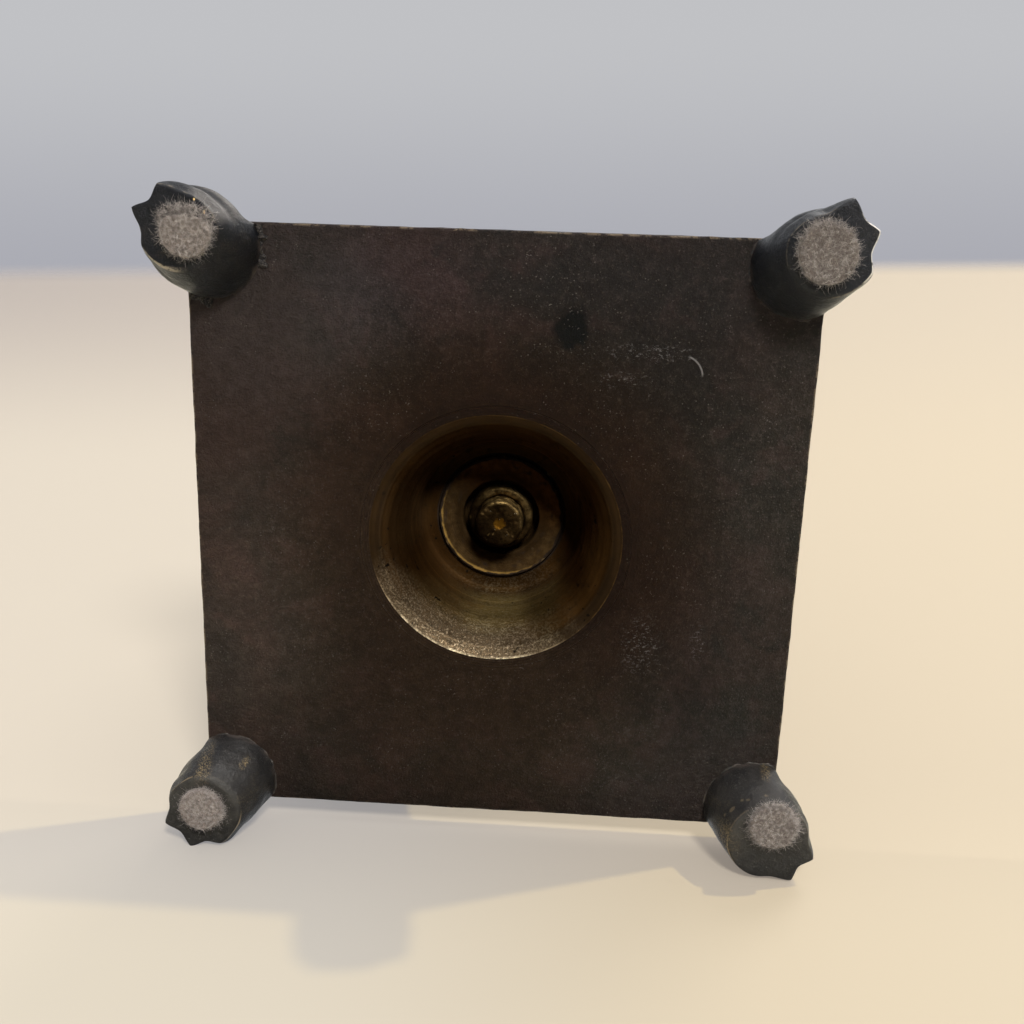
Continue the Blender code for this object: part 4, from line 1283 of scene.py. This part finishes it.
def stage_finish(name, colour, shown_from_below):
    """A matt surface that only eyes on one side of the ground see."""
    f = Finish(name)
    mottled = f.mix(f.band(f.noise(5.0, 3.0), 0.3, 0.7), tuple(c * 0.97 for c in colour), colour)
    f.set(Specular_IOR_Level=0.2)
    here = f.out("ShaderNodeNewGeometry", "Position")
    rays = f.node("ShaderNodeLightPath", {}).outputs
    eye, length = Value(f, rays["Is Camera Ray"]), Value(f, rays["Ray Length"])
    from_z = f.split(f.out("ShaderNodeNewGeometry", "Incoming"))[2] * length + f.split(here)[2]
    if shown_from_below:
        # What the eye sees is evened out and given a painted glow, light as from a bright ceiling: warmer to the right,
        # paler far away
        mottled = f.mix(eye, mottled, (0.2356, 0.2071, 0.1653))
        across, up, _ = f.split(f.coordinates["Window"])
        glow = f.mix(f.band(across, 0.25, 0.8), (0.246, 0.242, 0.256), (0.2, 0.17, 0.15))
        dim = f.band(up, 0.54, 0.73) * f.band(across, 0.3, 0.85, 1.0, 0.35)
        glow = f.mix(dim, glow, (0.055, 0.065, 0.135))
        near_glow = f.mix(f.band(across, 0.25, 0.8), (0.32, 0.312, 0.3), (0.255, 0.22, 0.18))
        glow = f.mix(f.band(up, 0.26, 0.06), glow, near_glow)
        f.set(Emission_Color=glow, Emission_Strength=eye)
    f.set(Base_Color=mottled, Roughness=0.75)
    # The eye counts as below the ground under z 0, and a bounce as coming from the underside under the plate
    low = f.math("LESS_THAN", from_z, f.band(eye, 0.0, 1.0, UNDER + 0.0015, 0.0, "LINEAR"))
    if shown_from_below:
        near = f.math("LESS_THAN", length, 0.015) * (1.0 - eye)
        floor = f.math("LESS_THAN", from_z, 0.00002) * (1.0 - eye)
        hide = f.most(1.0 - low, near, floor)
        reach = f.dot(here, TABLE_FAR) - TABLE_FROM.dot(TABLE_FAR)
        hide = f.most(hide, eye * f.band(reach, TABLE_END - 0.055, TABLE_END + 0.035))
    else:
        hide = low
    clear = f.node("ShaderNodeBsdfTransparent", {})
    blend = f.out("ShaderNodeMixShader", 0, {0: hide, 1: f.shader.outputs[0], 2: clear.outputs[0]})
    f.feed(f.output.inputs["Surface"], blend)
    return f.material


def build_stage():
    floor = [(-30.0, -30.0, 0.0), (30.0, -30.0, 0.0), (30.0, 30.0, 0.0), (-30.0, 30.0, 0.0)]
    stage_plane("floor", floor, stage_finish("floor_pale", (0.78, 0.76, 0.73), False))
    wide = TABLE_FAR.cross(TABLE_UP).normalized()
    end = TABLE_END + 0.035
    corners = [TABLE_FROM + TABLE_FAR * d + wide * w for d, w in ((-0.6, -1.6), (-0.6, 1.6), (end, 1.6), (end, -1.6))]
    table = stage_plane("table", [tuple(c) for c in corners], stage_finish("table_pale", (0.465, 0.447, 0.4), True))
    if table.data.polygons[0].normal.dot(TABLE_UP) < 0:
        table.data.flip_normals()


def soft_light(name, toward, distance, size, power, colour):
    data = bpy.data.lights.new(name, "AREA")
    data.shape = "DISK"
    data.size = size
    data.energy = power
    data.color = colour
    made = bpy.data.objects.new(name, data)
    scene.collection.objects.link(made)
    way = Vector(toward).normalized()
    made.location = way * distance + Vector((0.0, 0.0, 0.03))
    made.rotation_mode = "QUATERNION"
    made.rotation_quaternion = way.to_track_quat("Z", "Y")
    return made


UPPER_PIECES = ("ring", "knop", "calyx", "bowl", "dome", "knob")
BLOCKERS = ("plate", "bell", "foot_", "felt_")


def gathered(name, wanted):
    """A collection of the mesh objects whose names are wanted."""
    group = bpy.data.collections.new(name)
    for made in bpy.data.objects:
        if made.type == "MESH" and wanted(made.name):
            group.objects.link(made)
    return group


def build_light():
    world = bpy.data.worlds.new("studio")
    scene.world = world
    world.use_nodes = True
    w = Nodes(world.node_tree)
    # Bright over the stem's end and to the front, dark under the plate
    level = w.band(w.dot(w.coordinates["Generated"], (0.0, -0.55, 0.83)), -0.75, 0.65, 0.05, 0.95)
    lit = w.mix(level, (0.0, 0.0, 0.0), (0.95, 0.97, 1.0))
    # The wall behind, as the camera sees it: paler at the top
    wall = w.mix(w.band(w.split(w.coordinates["Window"])[1], 0.7, 0.98), (0.4, 0.405, 0.45), (0.53, 0.535, 0.555))
    eye = w.out("ShaderNodeLightPath", "Is Camera Ray")
    w.feed(w.tree.nodes["Background"].inputs["Color"], w.mix(eye, lit, wall))
    soft_light("key", (0.35, -0.75, 0.55), 2.2, 1.1, 26.0, (1.0, 0.97, 0.92))
    # A low front light for the underside, which the bowl and what is above it don't get
    front = soft_light("front", (0.25, -0.719, -0.643), 1.6, 0.34, 26.0, (1.0, 0.97, 0.93))
    front.light_linking.receiver_collection = gathered("lower_parts", lambda name: not name.startswith(UPPER_PIECES))
    # A lamp overhead, to the right, that gives the plate and the feet their shadows on the table
    lamp = soft_light("overhead", (0.64, -1.0, 0.2), 2.2, 0.05, 36.0, (1.0, 0.83, 0.37))
    lamp.light_linking.receiver_collection = gathered("table_only", lambda name: name == "table")
    lamp.light_linking.blocker_collection = gathered("low_parts", lambda name: name.startswith(BLOCKERS))


def build_camera():
    data = bpy.data.cameras.new("camera")
    data.lens = CAMERA_LENS
    data.sensor_width = 36.0
    data.clip_start = 0.005
    camera = bpy.data.objects.new("camera", data)
    scene.collection.objects.link(camera)
    forward = (CAMERA_AIM - CAMERA_AT).normalized()
    level = Vector((0.0, -1.0, 0.0))
    up = (level - forward * level.dot(forward)).normalized()
    up = Matrix.Rotation(CAMERA_ROLL, 3, forward) @ up
    right = forward.cross(up)
    turn = Matrix((right, up, -forward)).transposed()
    camera.matrix_world = Matrix.Translation(CAMERA_AT) @ turn.to_4x4()
    scene.camera = camera


build_stage()
build_light()
build_camera()
scene.view_settings.view_transform = "Standard"

bpy.context.view_layer.update()
